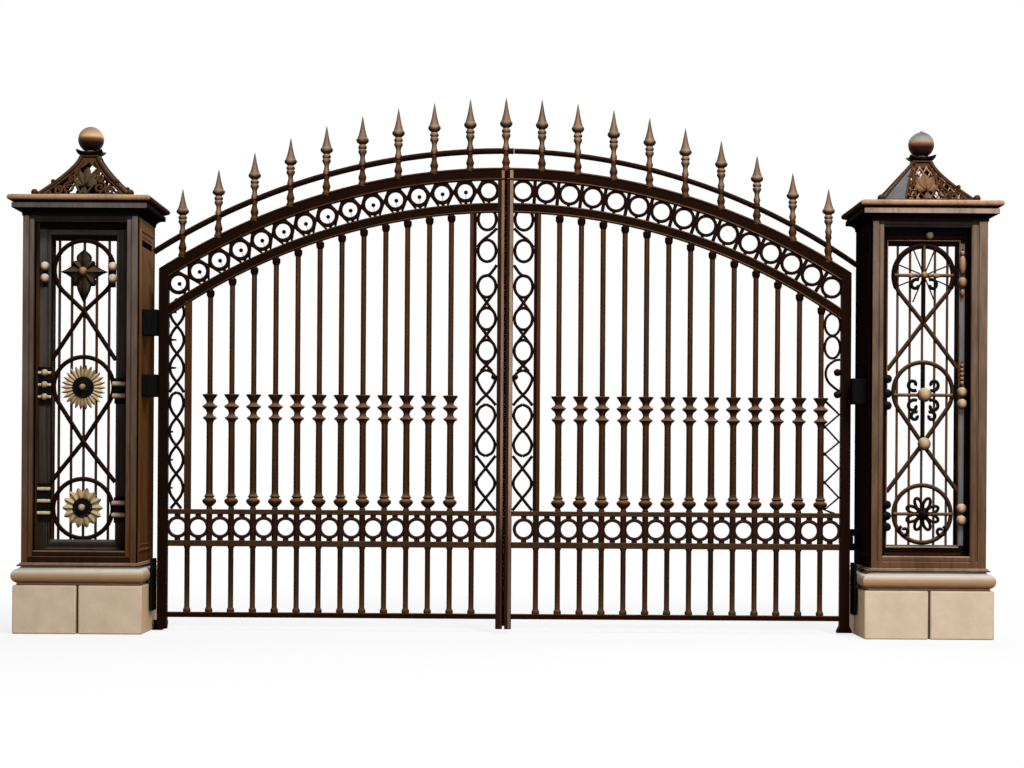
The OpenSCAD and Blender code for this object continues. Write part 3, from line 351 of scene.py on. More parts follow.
def painted_reflection_ball(name, steps):
    """A ball with a painted reflection of sky, horizon and ground as bands of colour round it, and
    painted shade below.
    """
    material, tree, shader, coords, grain = new_finish(name, 0.05, 0.0008, (EVEN, 60.0))
    way = axes_of(tree, coords.outputs["Normal"])
    ramp = add_node(tree, "ShaderNodeValToRGB")
    while len(ramp.color_ramp.elements) < len(steps):
        ramp.color_ramp.elements.new(0.5)
    for element, (height, colour) in zip(ramp.color_ramp.elements, steps):
        element.position = (height + 1.0) / 2.0
        element.color = colour + (1.0,)
    tree.links.new(spread(tree, way["Z"], -1.0, 1.0), ramp.inputs["Fac"])
    tree.links.new(ramp.outputs["Color"], shader.inputs["Base Color"])
    tree.links.new(spread(tree, grain, 0.25, 0.75, 0.40, 0.60), shader.inputs["Roughness"])
    return material


# painted reflection: bands of sky, horizon and ground, with near black painted shade below
ball_copper = painted_reflection_ball("ball_copper", (
    (-1.0, (0.003, 0.001, 0.001)), (-0.25, (0.012, 0.004, 0.002)), (0.02, (0.12, 0.05, 0.022)),
    (0.25, (0.62, 0.38, 0.20)), (0.55, (0.42, 0.26, 0.17)), (1.0, (0.26, 0.20, 0.19))))
ball_silver = painted_reflection_ball("ball_silver", (
    (-1.0, (0.003, 0.001, 0.001)), (-0.2, (0.020, 0.006, 0.004)), (0.02, (0.16, 0.055, 0.018)),
    (0.20, (0.30, 0.22, 0.165)), (0.5, (0.24, 0.225, 0.22)), (1.0, (0.085, 0.08, 0.095))))
print("iron finishes ready")

# %% [markdown]
# The plinths are honed stone: clouded, with flecks, with painted shade on their undersides
# and a warmer, darker painted shade on the faces that look aside. The coping has a painted
# highlight where it looks up and turns brown towards its underside as painted shade. Noise on
# the object's own coordinates gives the clouds, and the surface's direction gives the painted
# light and shade.


# %% Stone
def honed_stone(name, pale, shade, joint, flank):
    """Clouded stone with flecks, with painted shade on its undersides and a warm, darker painted shade on
    the faces that look aside.
    """
    material, tree, shader, coords, grain = new_finish(name, 0.25, 0.002, (EVEN, 160.0))
    cloud = noise_node(tree, coords.outputs["Object"], EVEN, 9.0)
    fleck = noise_node(tree, coords.outputs["Object"], EVEN, 220.0, 2.0)
    way = axes_of(tree, coords.outputs["Normal"])
    # painted shade: darker towards the undersides
    underside_shade = spread(tree, way["Z"], 0.15, -0.55)
    colour = colour_mix(tree, spread(tree, cloud, 0.35, 0.7), pale, shade)
    colour = colour_mix(tree, spread(tree, fleck, 0.62, 0.75, 0.0, 0.45), colour, joint)
    colour = colour_mix(tree, math_node(tree, "MULTIPLY", underside_shade, 0.75), colour, joint)
    # painted shade: warmer and darker on the faces that look aside
    aside = math_node(tree, "MULTIPLY", math_node(tree, "ABSOLUTE", way["X"]), 0.75)
    colour = colour_mix(tree, aside, colour, flank)
    tree.links.new(colour, shader.inputs["Base Color"])
    tree.links.new(spread(tree, grain, 0.3, 0.7, 0.62, 0.85), shader.inputs["Roughness"])
    return material


stone = honed_stone("honed_stone", (0.53, 0.43, 0.32), (0.46, 0.365, 0.262), (0.26, 0.135, 0.06),
                    (0.43, 0.275, 0.135))
mortar = honed_stone("dark_joint", (0.06, 0.035, 0.022), (0.04, 0.022, 0.014), (0.02, 0.012, 0.008),
                     (0.05, 0.03, 0.02))


def coping_finish(name):
    """Warm stone with a painted highlight where it looks up and painted shade, brown, towards its
    underside.
    """
    material, tree, shader, coords, grain = new_finish(name, 0.1, 0.002, (EVEN, 160.0))
    way = axes_of(tree, coords.outputs["Normal"])
    # painted light: pale where the coping looks up, brown and darker towards its underside as painted
    # shade
    colour = colour_mix(tree, spread(tree, way["Z"], -0.8, 0.15), (0.14, 0.056, 0.015),
                        (0.32, 0.208, 0.125))
    colour = colour_mix(tree, spread(tree, way["Z"], 0.15, 0.85), colour, (0.64, 0.57, 0.49))
    cloud = noise_node(tree, coords.outputs["Object"], EVEN, 12.0)
    colour = colour_mix(tree, spread(tree, cloud, 0.5, 0.8, 0.0, 0.25), colour, (0.26, 0.135, 0.06))
    tree.links.new(colour, shader.inputs["Base Color"])
    tree.links.new(spread(tree, grain, 0.3, 0.7, 0.62, 0.85), shader.inputs["Roughness"])
    return material


coping_stone = coping_finish("coping_stone")
print("stone finishes ready")

# %% [markdown]
# Most pieces are one of a few shapes: a block, a turned piece, a square moulding
# that runs round four sides with mitred corners, or a bar bent along a path. One
# collector gathers the corners and faces of a piece, and one function turns it
# into an object that rides on its body of the gate.


# %% Mesh helpers
NO_WIDTH = 1e-5
ORIGIN = (0.0, 0.0, 0.0)


class Shape:
    """Corners and faces of one piece, each face with the number of its finish."""

    def __init__(self):
        self.points = []
        self.faces = []
        self.finish = []

    def add(self, points, faces, finish):
        start = len(self.points)
        self.points.extend(Vector(p) for p in points)
        self.faces.extend([start + i for i in face] for face in faces)
        self.finish.extend([finish] * len(faces))
        return self

    def loops(self, rings, finish=0, round_trip=False):
        """Joins closed rings of points of one length into a skin."""
        count = len(rings[0])
        points = [p for ring in rings for p in ring]
        faces = []
        last = len(rings) if round_trip else len(rings) - 1
        for r in range(last):
            near = r * count
            far = ((r + 1) % len(rings)) * count
            for i in range(count):
                j = (i + 1) % count
                faces.append([near + i, near + j, far + j, far + i])
        if not round_trip:
            faces.append(list(range(count))[::-1])
            faces.append([(len(rings) - 1) * count + i for i in range(count)])
        return self.add(points, faces, finish)

    def block(self, low, high, finish=0):
        (x0, y0, z0), (x1, y1, z1) = low, high
        ring = [(x0, y0), (x1, y0), (x1, y1), (x0, y1)]
        return self.loops([[(x, y, z) for x, y in ring] for z in (z0, z1)], finish)

    def turned(self, centre, profile, steps, finish=0, axis="Z"):
        """A shape turned on a lathe: profile is a list of radius and distance along the axis."""
        rings = []
        for radius, along in profile:
            ring = []
            for i in range(steps):
                angle = 2 * math.pi * i / steps
                a = max(radius, NO_WIDTH) * math.cos(angle)
                b = max(radius, NO_WIDTH) * math.sin(angle)
                local = {"Z": (a, b, along), "Y": (a, along, -b), "X": (along, a, b)}[axis]
                ring.append(Vector(centre) + Vector(local))
            rings.append(ring)
        return self.loops(rings, finish)

    def square(self, centre, profile, finish=0):
        """A square moulding: profile is a list of half width and height."""
        x, y, z = centre
        corners = ((-1, -1), (1, -1), (1, 1), (-1, 1))
        rings = [[(x + h * a, y + h * b, z + up) for a, b in corners] for h, up in profile]
        return self.loops(rings, finish)

    def ball(self, centre, radius, steps):
        profile = []
        for i in range(11):
            angle = math.pi * i / 10
            profile.append((radius * math.sin(angle), -radius * math.cos(angle)))
        return self.turned(centre, profile, steps)


def closed_up(mesh):
    """Merges doubled corners, drops faces with no area and turns the others outward."""
    work = bmesh.new()
    work.from_mesh(mesh)
    bmesh.ops.remove_doubles(work, verts=work.verts, dist=1e-5)
    bmesh.ops.dissolve_degenerate(work, edges=work.edges, dist=1e-6)
    bmesh.ops.recalc_face_normals(work, faces=work.faces)
    work.to_mesh(mesh)
    work.free()


def plain_mesh(shape, name):
    mesh = bpy.data.meshes.new(name)
    mesh.from_pydata(shape.points, [], shape.faces)
    mesh.polygons.foreach_set("material_index", shape.finish)
    return mesh


def piece(name, shape, finishes, body, slot, stands_for=(), bevel=0.0, smooth=35.0):
    """Makes the object, closes its seams, turns its faces outward and lets it ride on its body."""
    mesh = shape if isinstance(shape, bpy.types.Mesh) else plain_mesh(shape, name)
    mesh.name = name
    closed_up(mesh)
    numbers = [face.material_index for face in mesh.polygons]
    mesh.materials.clear()
    for finish in finishes:
        mesh.materials.append(finish)
    mesh.polygons.foreach_set("material_index", numbers)
    mesh.polygons.foreach_set("use_smooth", [True] * len(mesh.polygons))
    mesh.set_sharp_from_angle(angle=math.radians(smooth))
    made = bpy.data.objects.new(name, mesh)
    bpy.context.scene.collection.objects.link(made)
    if bevel:
        modifier = made.modifiers.new("eased_edges", "BEVEL")
        modifier.width = bevel
        modifier.segments = 2
        modifier.limit_method = "ANGLE"
        modifier.angle_limit = math.radians(40)
        modifier.harden_normals = False
    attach(made, body)
    if stands_for:
        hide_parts(*stands_for)
    print(name, len(mesh.polygons), "faces")
    return made


# %% [markdown]
# What repeats is laid out by node trees. One tree sets a shape on every point of a
# row, another bends a round bar along every line of a drawing. Each has named inputs
# and ends as a plain mesh.


# %% Node trees
def new_tree(name, inputs):
    tree = bpy.data.node_groups.new(name, "GeometryNodeTree")
    tree.interface.new_socket("Geometry", in_out="INPUT", socket_type="NodeSocketGeometry")
    names = {}
    for label, kind, value in inputs:
        socket = tree.interface.new_socket(label, in_out="INPUT", socket_type=kind)
        if value is not None:
            socket.default_value = value
        names[label] = socket.identifier
    tree.interface.new_socket("Geometry", in_out="OUTPUT", socket_type="NodeSocketGeometry")
    start = tree.nodes.new("NodeGroupInput")
    end = tree.nodes.new("NodeGroupOutput")
    return tree, names, start, end


def finish_tree(tree, start, end, geometry):
    """Every tree ends in plain geometry with its finish set."""
    real = tree.nodes.new("GeometryNodeRealizeInstances")
    paint = tree.nodes.new("GeometryNodeSetMaterial")
    tree.links.new(geometry, real.inputs[0])
    tree.links.new(real.outputs[0], paint.inputs["Geometry"])
    tree.links.new(start.outputs["Finish"], paint.inputs["Material"])
    tree.links.new(paint.outputs[0], end.inputs[0])


def row_tree():
    """Sets a shape on each point; the point's own stretch and turn shape each copy."""
    tree, names, start, end = new_tree("row_of_shapes", (
        ("Shape", "NodeSocketObject", None), ("Finish", "NodeSocketMaterial", None)))
    info = tree.nodes.new("GeometryNodeObjectInfo")
    points = tree.nodes.new("GeometryNodeMeshToPoints")
    place = tree.nodes.new("GeometryNodeInstanceOnPoints")
    for label, socket in (("stretch", "Scale"), ("turn", "Rotation")):
        read = tree.nodes.new("GeometryNodeInputNamedAttribute")
        read.data_type = "FLOAT_VECTOR"
        read.inputs["Name"].default_value = label
        tree.links.new(read.outputs[0], place.inputs[socket])
    tree.links.new(start.outputs["Geometry"], points.inputs[0])
    tree.links.new(points.outputs[0], place.inputs["Points"])
    tree.links.new(start.outputs["Shape"], info.inputs["Object"])
    tree.links.new(info.outputs["Geometry"], place.inputs["Instance"])
    finish_tree(tree, start, end, place.outputs[0])
    return tree, names


def ring_tree():
    """Sets an upright ring of flat bar with rounded edges on each point."""
    tree, names, start, end = new_tree("row_of_rings", (
        ("Ring Radius", "NodeSocketFloat", 0.05), ("Bar Width", "NodeSocketFloat", 0.012),
        ("Bar Depth", "NodeSocketFloat", 0.016), ("Steps", "NodeSocketInt", 40),
        ("Finish", "NodeSocketMaterial", None)))
    circle = tree.nodes.new("GeometryNodeCurvePrimitiveCircle")
    section = tree.nodes.new("GeometryNodeCurvePrimitiveQuadrilateral")
    rounding = tree.nodes.new("GeometryNodeFilletCurve")
    rounding.mode = "POLY"
    rounding.inputs["Count"].default_value = 2
    sweep = tree.nodes.new("GeometryNodeCurveToMesh")
    upright = tree.nodes.new("GeometryNodeTransform")
    upright.inputs["Rotation"].default_value = (math.radians(90), 0.0, 0.0)
    smooth = tree.nodes.new("GeometryNodeSetShadeSmooth")
    points = tree.nodes.new("GeometryNodeMeshToPoints")
    place = tree.nodes.new("GeometryNodeInstanceOnPoints")
    ease = tree.nodes.new("ShaderNodeMath")
    ease.operation = "MULTIPLY"
    ease.inputs[1].default_value = 0.3
    links = tree.links
    links.new(start.outputs["Ring Radius"], circle.inputs["Radius"])
    links.new(start.outputs["Steps"], circle.inputs["Resolution"])
    links.new(start.outputs["Bar Width"], section.inputs["Width"])
    links.new(start.outputs["Bar Depth"], section.inputs["Height"])
    links.new(start.outputs["Bar Width"], ease.inputs[0])
    links.new(ease.outputs[0], rounding.inputs["Radius"])
    links.new(section.outputs[0], rounding.inputs[0])
    links.new(circle.outputs[0], sweep.inputs["Curve"])
    links.new(rounding.outputs[0], sweep.inputs["Profile Curve"])
    links.new(sweep.outputs[0], smooth.inputs[0])
    links.new(smooth.outputs[0], upright.inputs[0])
    links.new(start.outputs["Geometry"], points.inputs[0])
    links.new(points.outputs[0], place.inputs["Points"])
    links.new(upright.outputs[0], place.inputs["Instance"])
    finish_tree(tree, start, end, place.outputs[0])
    return tree, names


def bent_bar_tree():
    """Bends a round bar along every line of the drawing."""
    tree, names, start, end = new_tree("bent_bars", (
        ("Bar Radius", "NodeSocketFloat", 0.007), ("Sides", "NodeSocketInt", 10),
        ("Finish", "NodeSocketMaterial", None)))
    curve = tree.nodes.new("GeometryNodeMeshToCurve")
    section = tree.nodes.new("GeometryNodeCurvePrimitiveCircle")
    sweep = tree.nodes.new("GeometryNodeCurveToMesh")
    sweep.inputs["Fill Caps"].default_value = True
    smooth = tree.nodes.new("GeometryNodeSetShadeSmooth")
    links = tree.links
    links.new(start.outputs["Geometry"], curve.inputs[0])
    links.new(start.outputs["Bar Radius"], section.inputs["Radius"])
    links.new(start.outputs["Sides"], section.inputs["Resolution"])
    links.new(curve.outputs[0], sweep.inputs["Curve"])
    links.new(section.outputs[0], sweep.inputs["Profile Curve"])
    links.new(sweep.outputs[0], smooth.inputs[0])
    finish_tree(tree, start, end, smooth.outputs[0])
    return tree, names


ROW_TREE = row_tree()
RING_TREE = ring_tree()
BAR_TREE = bent_bar_tree()


def grown(tree_and_names, drawing, values):
    """Runs a node tree on a drawing and returns the plain mesh."""
    tree, names = tree_and_names
    holder = bpy.data.objects.new("drawing", drawing)
    bpy.context.scene.collection.objects.link(holder)
    modifier = holder.modifiers.new("layout", "NODES")
    modifier.node_group = tree
    for label, value in values.items():
        modifier[names[label]] = value
    graph = bpy.context.evaluated_depsgraph_get()
    mesh = bpy.data.meshes.new_from_object(holder.evaluated_get(graph), depsgraph=graph)
    bpy.data.objects.remove(holder)
    return mesh


def row_points(places, stretch=None, turn=None):
    """A drawing of loose points, each with its own stretch and turn."""
    drawing = bpy.data.meshes.new("row")
    drawing.from_pydata([tuple(p) for p in places], [], [])
    for label, values, plain in (("stretch", stretch, EVEN), ("turn", turn, ORIGIN)):
        layer = drawing.attributes.new(label, "FLOAT_VECTOR", "POINT")
        for i in range(len(places)):
            layer.data[i].vector = values[i] if values else plain
    return drawing


def row_of(shape, places, finish, stretch=None, turn=None):
    """The shape repeated on every place, as a mesh with its finish."""
    mesh = plain_mesh(shape, "pattern")
    closed_up(mesh)
    pattern = bpy.data.objects.new("pattern", mesh)
    bpy.context.scene.collection.objects.link(pattern)
    drawing = row_points(places, stretch, turn)
    grown_mesh = grown(ROW_TREE, drawing, {"Shape": pattern, "Finish": finish})
    bpy.data.objects.remove(pattern)
    return grown_mesh, finish


def ring_row(places, radius, width, depth, finish):
    """A ring of flat bar on every place, as a mesh with its finish."""
    values = {"Ring Radius": radius, "Bar Width": width, "Bar Depth": depth, "Steps": 44,
              "Finish": finish}
    return grown(RING_TREE, row_points(places), values), finish


def line_drawing(paths):
    """A drawing of lines: each path is a list of points and whether it closes."""
    points = []
    edges = []
    for path, closed in paths:
        start = len(points)
        points.extend(tuple(p) for p in path)
        edges.extend((start + i, start + i + 1) for i in range(len(path) - 1))
        if closed:
            edges.append((start + len(path) - 1, start))
    drawing = bpy.data.meshes.new("lines")
    drawing.from_pydata(points, edges, [])
    return drawing


def bent_bars(paths, radius, finish, sides=10):
    """Round bars bent along the paths, as a mesh with its finish."""
    values = {"Bar Radius": radius, "Sides": sides, "Finish": finish}
    return grown(BAR_TREE, line_drawing(paths), values), finish


def painted(shape, finish):
    """The mesh of a shape, with its finish."""
    return plain_mesh(shape, "shape"), finish


def built(name, parts, body, slot, stands_for=(), smooth=35.0, bevel=0.0):
    """One piece joined from several meshes, each with its finish."""
    work = bmesh.new()
    finishes = []
    for mesh, finish in parts:
        if finish not in finishes:
            finishes.append(finish)
        before = len(work.faces)
        work.from_mesh(mesh)
        work.faces.ensure_lookup_table()
        for face in work.faces[before:]:
            face.material_index = finishes.index(finish)
    result = bpy.data.meshes.new(name)
    work.to_mesh(result)
    work.free()
    return piece(name, result, finishes, body, slot, stands_for, bevel, smooth)


def leaf_piece(side_name, label, parts, slot, node, smooth):
    """A piece of one leaf of the gate that stands for one node of that leaf."""
    return built(side_name + label, parts, side_name + "_leaf", slot, (side_name + node,), smooth)


print("node trees ready")

# %% [markdown]
# The plinths are laid of dressed stone, two blocks to a face with a thin dark joint
# between them, under one rounded coping. A joint painted on one block would look flat
# from aside, so each block is its own solid with eased edges, set against a dark core
# that shows in the joints.

# %% Stone plinths
PILLAR_X = 2.1
JOINT = 0.010
INSET = 0.016
ROLL = 0.036


def square_box(node):
    """The middle of a square node's foot, its half width and its height."""
    low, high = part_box(node)
    return ((low.x + high.x) / 2, (low.y + high.y) / 2, low.z), (high.x - low.x) / 2, high.z - low.z


for side, name in SIDES:
    low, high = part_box(name + "_plinth")
    middle = (low + high) / 2
    blocks = Shape()
    for x0, x1 in ((low.x, middle.x - JOINT / 2), (middle.x + JOINT / 2, high.x)):
        for y0, y1 in ((low.y, middle.y - JOINT / 2), (middle.y + JOINT / 2, high.y)):
            blocks.block((x0, y0, low.z), (x1, y1, high.z - 0.004))
    core = Shape()
    core.block((low.x + INSET, low.y + INSET, low.z + 0.002), (high.x - INSET, high.y - INSET, high.z))
    made = piece(name + "_plinth_blocks", blocks, [stone], "pillars", "stone", (name + "_plinth",), 0.007)
    made.modifiers["eased_edges"].segments = 3
    piece(name + "_plinth_core", core, [mortar], "pillars", "stone")
    centre, edge, tall = square_box(name + "_plinth_coping")
    profile = [(edge - 0.026, 0.0), (edge - 0.024, 0.006)]
    for i in range(13):
        angle = math.radians(-80 + 160 * i / 12)
        profile.append((edge - ROLL + ROLL * math.cos(angle), 0.006 + ROLL + ROLL * math.sin(angle)))
    profile += [(edge - ROLL - 0.002, tall - 0.008), (edge - ROLL - 0.005, tall - 0.003),
                (edge - ROLL - 0.010, tall)]
    coping = Shape().square(centre, profile)
    piece(name + "_coping", coping, [coping_stone], "pillars", "stone", (name + "_plinth_coping",), 0.0,
          50.0)

# %% [markdown]
# The pillar's skirt and cornice are sheet mouldings that run round with mitred corners.
# Each is a short list of half width and height, drawn once and carried round the square,
# so the corners close without a cut.

# %% Base plates and cornices
ROUND = 0.0150
for side, name in SIDES:
    centre, edge, tall = square_box(name + "_base_plate")
    skirt = Shape().square(centre, [
        (edge - 0.004, 0.0), (edge, 0.002), (edge, 0.007), (edge - 0.003, 0.0085), (edge - 0.008, 0.0092),
        (edge - 0.009, 0.012), (edge - 0.012, 0.0155), (edge - 0.018, tall)])
    piece(name + "_skirt", skirt, [pillar_finish[side]], "pillars", "bronze_iron",
          (name + "_base_plate",))
    centre, edge, tall = square_box(name + "_cornice")
    neck = 0.285
    step = edge - 0.020
    hollow = [(neck - 0.010, 0.0), (neck + 0.004, 0.0), (neck + 0.004, 0.006)]
    for i in range(9):
        angle = math.radians(90 * i / 8)
        reach = step - 0.006 - neck - 0.004
        hollow.append((neck + 0.004 + reach * (1 - math.cos(angle)), 0.006 + 0.028 * math.sin(angle)))
    hollow.append((step - 0.012, 0.036))
    cornice = Shape().square(centre, hollow)
    cornice.square(centre, [(step - 0.014, 0.0345), (step - 0.001, 0.035), (step, 0.036), (step, 0.057),
                            (step - 0.002, 0.060), (step - 0.012, 0.064)], 2)
    slab = [(step - 0.016, 0.062), (step - 0.004, 0.066), (step + 0.004, 0.070)]
    for i in range(9):
        angle = math.radians(-90 + 180 * i / 8)
        slab.append((edge - ROUND + ROUND * math.cos(angle), 0.070 + ROUND + ROUND * math.sin(angle)))
    slab += [(edge - 0.030, tall - 0.0005), (edge - 0.060, tall)]
    cornice.square(centre, slab, 1)
    # the slab's rounded edge is bright copper, brushing with a painted highlight over it; the hollow is
    # painted shade, black under a narrow fillet
    piece(name + "_cornice_moulding", cornice, [painted_shade_black, slab_brush_highlight, fillet_finish[side]],
          "pillars", "bronze_iron", (name + "_cornice",), 0.0, 40.0)

# %% [markdown]
# Each pillar has a moulded frame on its front and back. Four bars would leave gaps at the
# mitres, so a list of steps is carried round the opening as one ring. The stiles are then
# laid over it, since on the real pillar they run through from skirt to cornice.


# %% Pillar faces
def frame_ring(shape, outer, steps, head_finish=0, foot_finish=0):
    """A mitred face frame: outer gives its left and right edge, foot and head, and the width of
    its left and right stile, foot rail and head rail. steps give how far each line of the
    moulding lies from the outer edge to the inner one, and its place in depth."""
    left, right, foot, head, left_stile, right_stile, foot_rail, head_rail = outer
    rings = []
    for share, depth in steps:
        x0 = left + share * left_stile
        x1 = right - share * right_stile
        z0 = foot + share * foot_rail
        z1 = head - share * head_rail
        rings.append([(x0, depth, z0), (x1, depth, z0), (x1, depth, z1), (x0, depth, z1)])
    shape.loops(rings, round_trip=True)
    first = len(shape.finish) - 4 * len(rings)
    for i in range(first, len(shape.finish)):
        shape.finish[i] = (foot_finish, 0, head_finish, 0)[(i - first) % 4]
    return shape


FACE_STILE = 0.060
WIDE_STILE = 0.084
FOOT_RAIL = 0.059
HEAD_RAIL = 0.033
for side, name in SIDES:
    for face, sign in (("front", -1), ("back", 1)):
        node = name + "_" + face + "_frame"
        low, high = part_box(node)
        near = low.y if sign < 0 else high.y
        deep = -sign * (high.y - low.y)
        wide = WIDE_STILE if side == RIGHT and face == "front" else FACE_STILE
        outer = (low.x, high.x, low.z, high.z, FACE_STILE, wide, FOOT_RAIL, HEAD_RAIL)
        steps = [(0.0, deep), (0.0, 0.003), (0.03, 0.0), (0.50, 0.0), (0.53, 0.004), (0.58, 0.004),
                 (0.61, 0.001), (0.90, 0.001), (0.96, 0.004), (1.0, 0.010), (1.0, deep)]
        steps = [(share, near + (d if abs(d) == abs(deep) else -sign * d)) for share, d in steps]
        # the head rail takes the painted shade finish
        body_frame = frame_ring(Shape(), outer, steps, 1, 2 if side == LEFT else 0)
        # the stiles run from skirt to cornice, and the two rails stand between them
        for edge, width in ((low.x, FACE_STILE), (high.x, -wide)):
            run = [(edge + share * width, depth + sign * 0.0006) for share, depth in steps[1:-1]]
            run += [(edge + width, near + deep * 0.8), (edge, near + deep * 0.8)]
            body_frame.loops([[(x, y, z) for x, y in run] for z in (low.z, high.z)])
        piece(name + "_" + face + "_face", body_frame, [pillar_finish[side], head_painted_shade, foot_bronze],
              "pillars", "bronze_iron", (node,))
print("pillar faces ready")

# %% [markdown]
# The side walls are plain sheet with two raised beads that frame each one, and a narrow
# slot near the head of the inner wall, a thin black plate whose black is painted shade for
# its hollow. The walls stay as the solid model has them and get a brushed finish, a lit copy
# on the left pillar and a near black painted shade copy on the right; the beads and slot are
# new pieces on their outer faces. The rods of the back face are bent bars, set where they
# show through the front.


# %% Wall beads and back rods
def upright_bead(shape, x, out, y0, y1, z0, z1, width, height):
    """A mitred bead on a wall that faces along x; out is 1 or -1."""
    rings = []
    for inset, rise in ((0.0, 0.0), (width * 0.2, height), (width * 0.8, height), (width, 0.0)):
        at = x + out * rise
        rings.append([(at, y0 + inset, z0 + inset), (at, y1 - inset, z0 + inset),
                      (at, y1 - inset, z1 - inset), (at, y0 + inset, z1 - inset)])
    return shape.loops(rings, round_trip=True)


BACK_PITCH = 0.0637
BACK_ROD_R = 0.0062
BACK_SHIFT = {LEFT: 0.0064, RIGHT: -0.0239}
for side, name in SIDES:
    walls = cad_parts[name + "_side_walls"]
    for coat in walls.material_slots:
        coat.material = wall_finish[side]
    low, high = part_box(name + "_side_walls")
    beads = Shape()
    for x, out in ((low.x, -1), (high.x, 1)):
        upright_bead(beads, x, out, low.y + 0.030, high.y - 0.030, low.z + 0.050, high.z - 0.050, 0.016,
                     0.005)
        upright_bead(beads, x, out, low.y + 0.062, high.y - 0.062, low.z + 0.082, high.z - 0.082, 0.008,
                     0.003)
    piece(name + "_wall_beads", beads, [wall_finish[side]], "pillars", "bronze_iron")
    inner_x = high.x if side == LEFT else low.x
    # painted shade: the slot is a thin black plate whose black stands for the shade in its hollow
    slot = Shape()
    slot.block((inner_x - 0.002, -0.165, high.z - 0.135), (inner_x + 0.002, 0.165, high.z - 0.105))
    piece(name + "_wall_slot", slot, [black_iron], "pillars", "black_iron", (), 0.001)
    low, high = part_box(name + "_back_bars")
    y = (low.y + high.y) / 2
    bars = []
    for i in range(-2, 3):
        x = side * PILLAR_X + BACK_SHIFT[side] + i * BACK_PITCH
        bars.append(([(x, y, low.z), (x, y, high.z)], False))
    built(name + "_back_rods", [bent_bars(bars, BACK_ROD_R, bronze)], "pillars", "bronze_iron",
          (name + "_back_bars",))

# %% [markdown]
# The pagoda roof rises in a hollow curve on four bent hip ribs. Three faces are open
# fretwork, with a fan of cast leaves, bent scrolls beside it and a pointed web at the
# head, and the inner flank is closed with sheet. The right roof has straight inner hips,
# a lattice behind its scrolls and sheet on part of its front. All of it is drawn on a
# face, in width and height, and then laid onto the curve.

# %% Pagoda roofs
ROOF_Z = 2.167
ROOF_H = 0.221


def roof_half(t):
    return 0.046 + 0.194 * (1.0 - t) ** 1.32


def straight_half(t):
    return 0.240 - 0.194 * t


def roof_place(across, t, turn, proud=0.0, half=roof_half):
    """A point on the roof's face, turned to the face that it belongs to; half is its slope."""
    point = Vector((across, -half(t) - proud, ROOF_Z + ROOF_H * t))
    return Matrix.Rotation(turn, 3, "Z") @ point


def spiral(cx, cz, start_r, end_r, start_deg, turns, count=22):
    """A curl in a flat drawing: points of across and up."""
    points = []
    for i in range(count):
        share = i / (count - 1)
        radius = start_r + (end_r - start_r) * share
        angle = math.radians(start_deg) + 2 * math.pi * turns * share
        points.append((cx + radius * math.cos(angle), cz + radius * math.sin(angle)))
    return points


def leaflet_outline(length, width, count=24):
    """Half widths of a spoon-shaped leaflet, narrow at its root and round at its tip."""
    outline = []
    for i in range(count + 1):
        share = i / count
        outline.append((share * length, width * math.sin(math.pi * share ** 1.8) ** 0.6))
    return outline


def leaf(shape, outline, place, thick):
    """A cast leaf with a raised rib; place takes along, across and outward to a point."""
    rings = []
    for along, half in outline:
        half = max(half, 0.0006)
        rings.append([place(along, -half, 0.0), place(along, -half, thick * 0.3),
                      place(along, -half * 0.5, thick * 0.55), place(along, 0.0, thick),
                      place(along, half * 0.5, thick * 0.55), place(along, half, thick * 0.3),
                      place(along, half, 0.0)])
    return shape.loops(rings)


def on_roof(lines, turn, proud, edge):
    """Lays flat lines of across and up on a face; what lies left of edge is cut off."""
    paths = []
    for line in lines:
        run = []
        for across, up in line:
            t = max(up, 0.004) / ROOF_H
            if edge is None or across > edge(t):
                run.append(roof_place(across, t, turn, proud))
            elif run:
                paths.append((run, False))
                run = []
        paths.append((run, False))
    return [(run, closed) for run, closed in paths if len(run) > 2]


def roof_scrolls():
    """Scrolls of one open face, on both sides of the leaf."""
    lines = []
    for s in (-1, 1):
        lines += [spiral(s * 0.076, 0.050, 0.031, 0.007, 90, -s * 1.45),
                  spiral(s * 0.128, 0.031, 0.023, 0.006, 90, s * 1.35),
                  spiral(s * 0.172, 0.020, 0.014, 0.004, 90, -s * 1.25),
                  spiral(s * 0.066, 0.100, 0.021, 0.005, -90, s * 1.3),
                  spiral(s * 0.046, 0.140, 0.015, 0.004, -90, s * 1.2),
                  [(s * 0.012, 0.010), (s * 0.046, 0.070), (s * 0.062, 0.110), (s * 0.052, 0.160),
                   (s * 0.030, 0.195)],
                  [(s * 0.080, 0.010), (s * 0.104, 0.052), (s * 0.128, 0.056), (s * 0.150, 0.040)]]
    return lines


def roof_lattice():
    """A lattice of crossing slats over one face, cut at the hip ribs."""
    lines = []
    for lean in (-1, 1):
        for k in range(-10, 11):
            run = []
            for i in range(41):
                up = 0.008 + 0.190 * i / 40
                across = k * 0.034 + lean * up * 0.62
                inside = abs(across) < roof_half(up / ROOF_H) - 0.006
                if inside:
                    run.append((across, up))
                if run and (not inside or i == 40):
                    lines.append(run)
                    run = []
    return lines


def sheet_edge(t):
    """Where the closed part of the right roof's front face ends."""
    return -0.118 + 0.074 * t


def roof_plate(shape, place, low_edge, high_edge, top):
    """A thin sheet on a face between two lines, each a distance across for a height."""
    rows = []
    for i in range(17):
        t = top * i / 16
        a = low_edge(t)
        b = high_edge(t)
        rows.append([place(a, t, -0.004), place(b, t, -0.004), place(b, t, -0.009), place(a, t, -0.009)])
    return shape.loops(rows)


